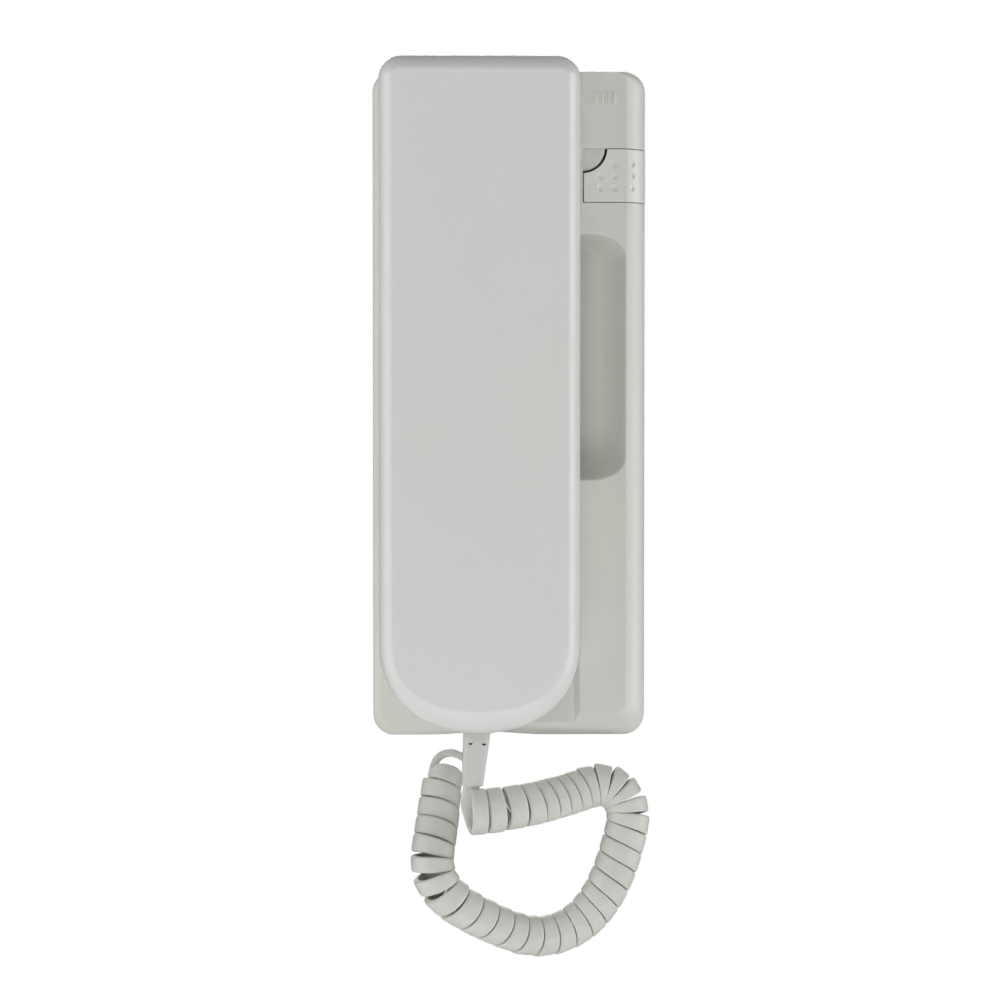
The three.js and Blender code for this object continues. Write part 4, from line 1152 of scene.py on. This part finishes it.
cut(relief, small_slot("s1", -12.2, -104.0, 0.58, 0.33, -34.9, -40), small_slot("s2", -8.1, -104.2, 0.6, 0.33, -34.9, -40))
polish(relief, 40)
dress(relief, RELIEF)
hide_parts("strain_relief")
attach(relief, "handset")

# -------------------------------------------------------------------- cord plug
plug = block("modular_plug", PLUG_X - 3.85, PLUG_X + 3.85, -5.5, -12.1, PLUG_Z0 + 0.6, -92.4, 0.35)
join(plug, block("boot", PLUG_X - 2.6, PLUG_X + 2.6, -6.4, -11.2, PLUG_Z0, PLUG_Z0 + 1, 0.25))
cut(plug, block("entry", PLUG_X - 2.25, PLUG_X + 2.25, -7.45, -10.15, PLUG_Z0 - 2, -103.4, 0.4))
for i in range(4):
    cut(plug, block("gate", PLUG_X - 2.2 + i * 1.27, PLUG_X - 1.7 + i * 1.27, -4, -7.4, -97.5, -91))
polish(plug, 34)
dress(plug, PLUG)
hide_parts("cord_plug")
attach(plug, "base")

# ------------------------------------------------------- the CAD pieces inside
FINISH = {
    "back_plate": (PLATE, "plate_plastic"),
    "circuit_board": (BOARD, "circuit_laminate"),
    "terminal_block": (TERMINAL, "terminal_plastic"),
    "board_screw_upper": (STEEL, "screw_steel"),
    "board_screw_lower": (STEEL, "screw_steel"),
    "cover_screw": (STEEL, "screw_steel"),
    "line_capacitor": (SLEEVE, "capacitor_sleeve"),
    "speech_transformer": (LAMINATED, "transformer_steel"),
    "call_buzzer": (BLACK, "black_plastic"),
    "button_contact_block": (BLACK, "black_plastic"),
    "button_leaf": (BRASS, "contact_brass"),
    "button_fixed_contact": (BRASS, "contact_brass"),
    "hook_plunger": (PLUNGER, "button_plastic"),
    "hook_contact_block": (BLACK, "black_plastic"),
    "hook_leaf": (BRASS, "contact_brass"),
    "hook_fixed_contact": (BRASS, "contact_brass"),
    "cord_jack": (BLACK, "black_plastic"),
    "handset_screw_upper": (STEEL, "screw_steel"),
    "handset_screw_lower": (STEEL, "screw_steel"),
    "receiver_capsule": (RECEIVER, "receiver_plastic"),
    "receiver_gasket": (FOAM, "foam_rubber"),
    "microphone_boot": (FOAM, "foam_rubber"),
    "microphone_capsule": (CAN, "microphone_can"),
}
for i in range(1, 7):
    FINISH[f"terminal_screw_{i}"] = (STEEL, "screw_steel")
for node, (material, slot_name) in FINISH.items():
    dress(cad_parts[node], material)

# ------------------------------------------------------------- light and floor
world = bpy.data.worlds.new("studio")
scene.world = world
world.use_nodes = True
wn = world.node_tree
wn.nodes.clear()
w_out = wn.nodes.new("ShaderNodeOutputWorld")
w_mix = wn.nodes.new("ShaderNodeMixShader")
w_path = wn.nodes.new("ShaderNodeLightPath")
w_light = wn.nodes.new("ShaderNodeBackground")
w_seen = wn.nodes.new("ShaderNodeBackground")
w_light.inputs["Color"].default_value = (1.0, 1.0, 1.0, 1.0)
w_light.inputs["Strength"].default_value = 0.03
w_seen.inputs["Color"].default_value = (1.0, 1.0, 1.0, 1.0)
w_seen.inputs["Strength"].default_value = 1.0
wn.links.new(w_path.outputs["Is Camera Ray"], w_mix.inputs["Fac"])
wn.links.new(w_light.outputs["Background"], w_mix.inputs[1])
wn.links.new(w_seen.outputs["Background"], w_mix.inputs[2])
wn.links.new(w_mix.outputs["Shader"], w_out.inputs["Surface"])


def softbox(name, location, size, power, target=(0, 0, -0.02)):
    d = bpy.data.lights.new(name, "AREA")
    d.shape = "RECTANGLE"
    d.size, d.size_y = size
    d.energy = power
    ob = bpy.data.objects.new(name, d)
    scene.collection.objects.link(ob)
    ob.location = location
    aim(ob, target)
    return ob


softbox("left", (-1.0, -0.75, 0.0), (0.6, 1.3), 4.0)
softbox("left_side", (-1.2, -0.2, 0.0), (0.5, 1.3), 4.6)
softbox("right_side", (1.2, -0.2, 0.0), (0.5, 1.3), 9.0)
softbox("below", (0.0, -0.55, -1.0), (1.2, 0.6), 17.0)
softbox("low_front", (0.0, -1.1, -0.7), (1.0, 0.5), 2.5)
softbox("above", (0.0, -0.55, 1.1), (1.2, 0.6), 1.0)
softbox("high_front", (0.0, -1.1, 0.7), (1.0, 0.5), 2.8)
softbox("front", (0.0, -1.6, 0.0), (0.9, 0.9), 0.85)
softbox("behind", (0.0, 1.4, 0.5), (0.9, 0.9), 12.0)

scene.view_settings.view_transform = "Standard"
scene.view_settings.look = "None"
scene.view_settings.exposure = 0.0
scene.view_settings.gamma = 1.0

floor = new_object("studio_floor", [(-600, -900, -900), (600, -900, -900), (600, 600, -900), (-600, 600, -900)], [(0, 1, 2, 3)])
mat, nt, bsdf, co = principled("floor_paper")
paper = noise(nt, co, 30.0, 3.0, 0.5)
nt.links.new(ramp(nt, paper, [(0.3, (0.82, 0.82, 0.81)), (0.7, (0.86, 0.86, 0.85))]), bsdf.inputs["Base Color"])
bsdf.inputs["Roughness"].default_value = 0.8
bump(nt, bsdf, noise(nt, co, 900.0, 2.0), 0.00005, 0.3)
floor.data.materials.append(mat)
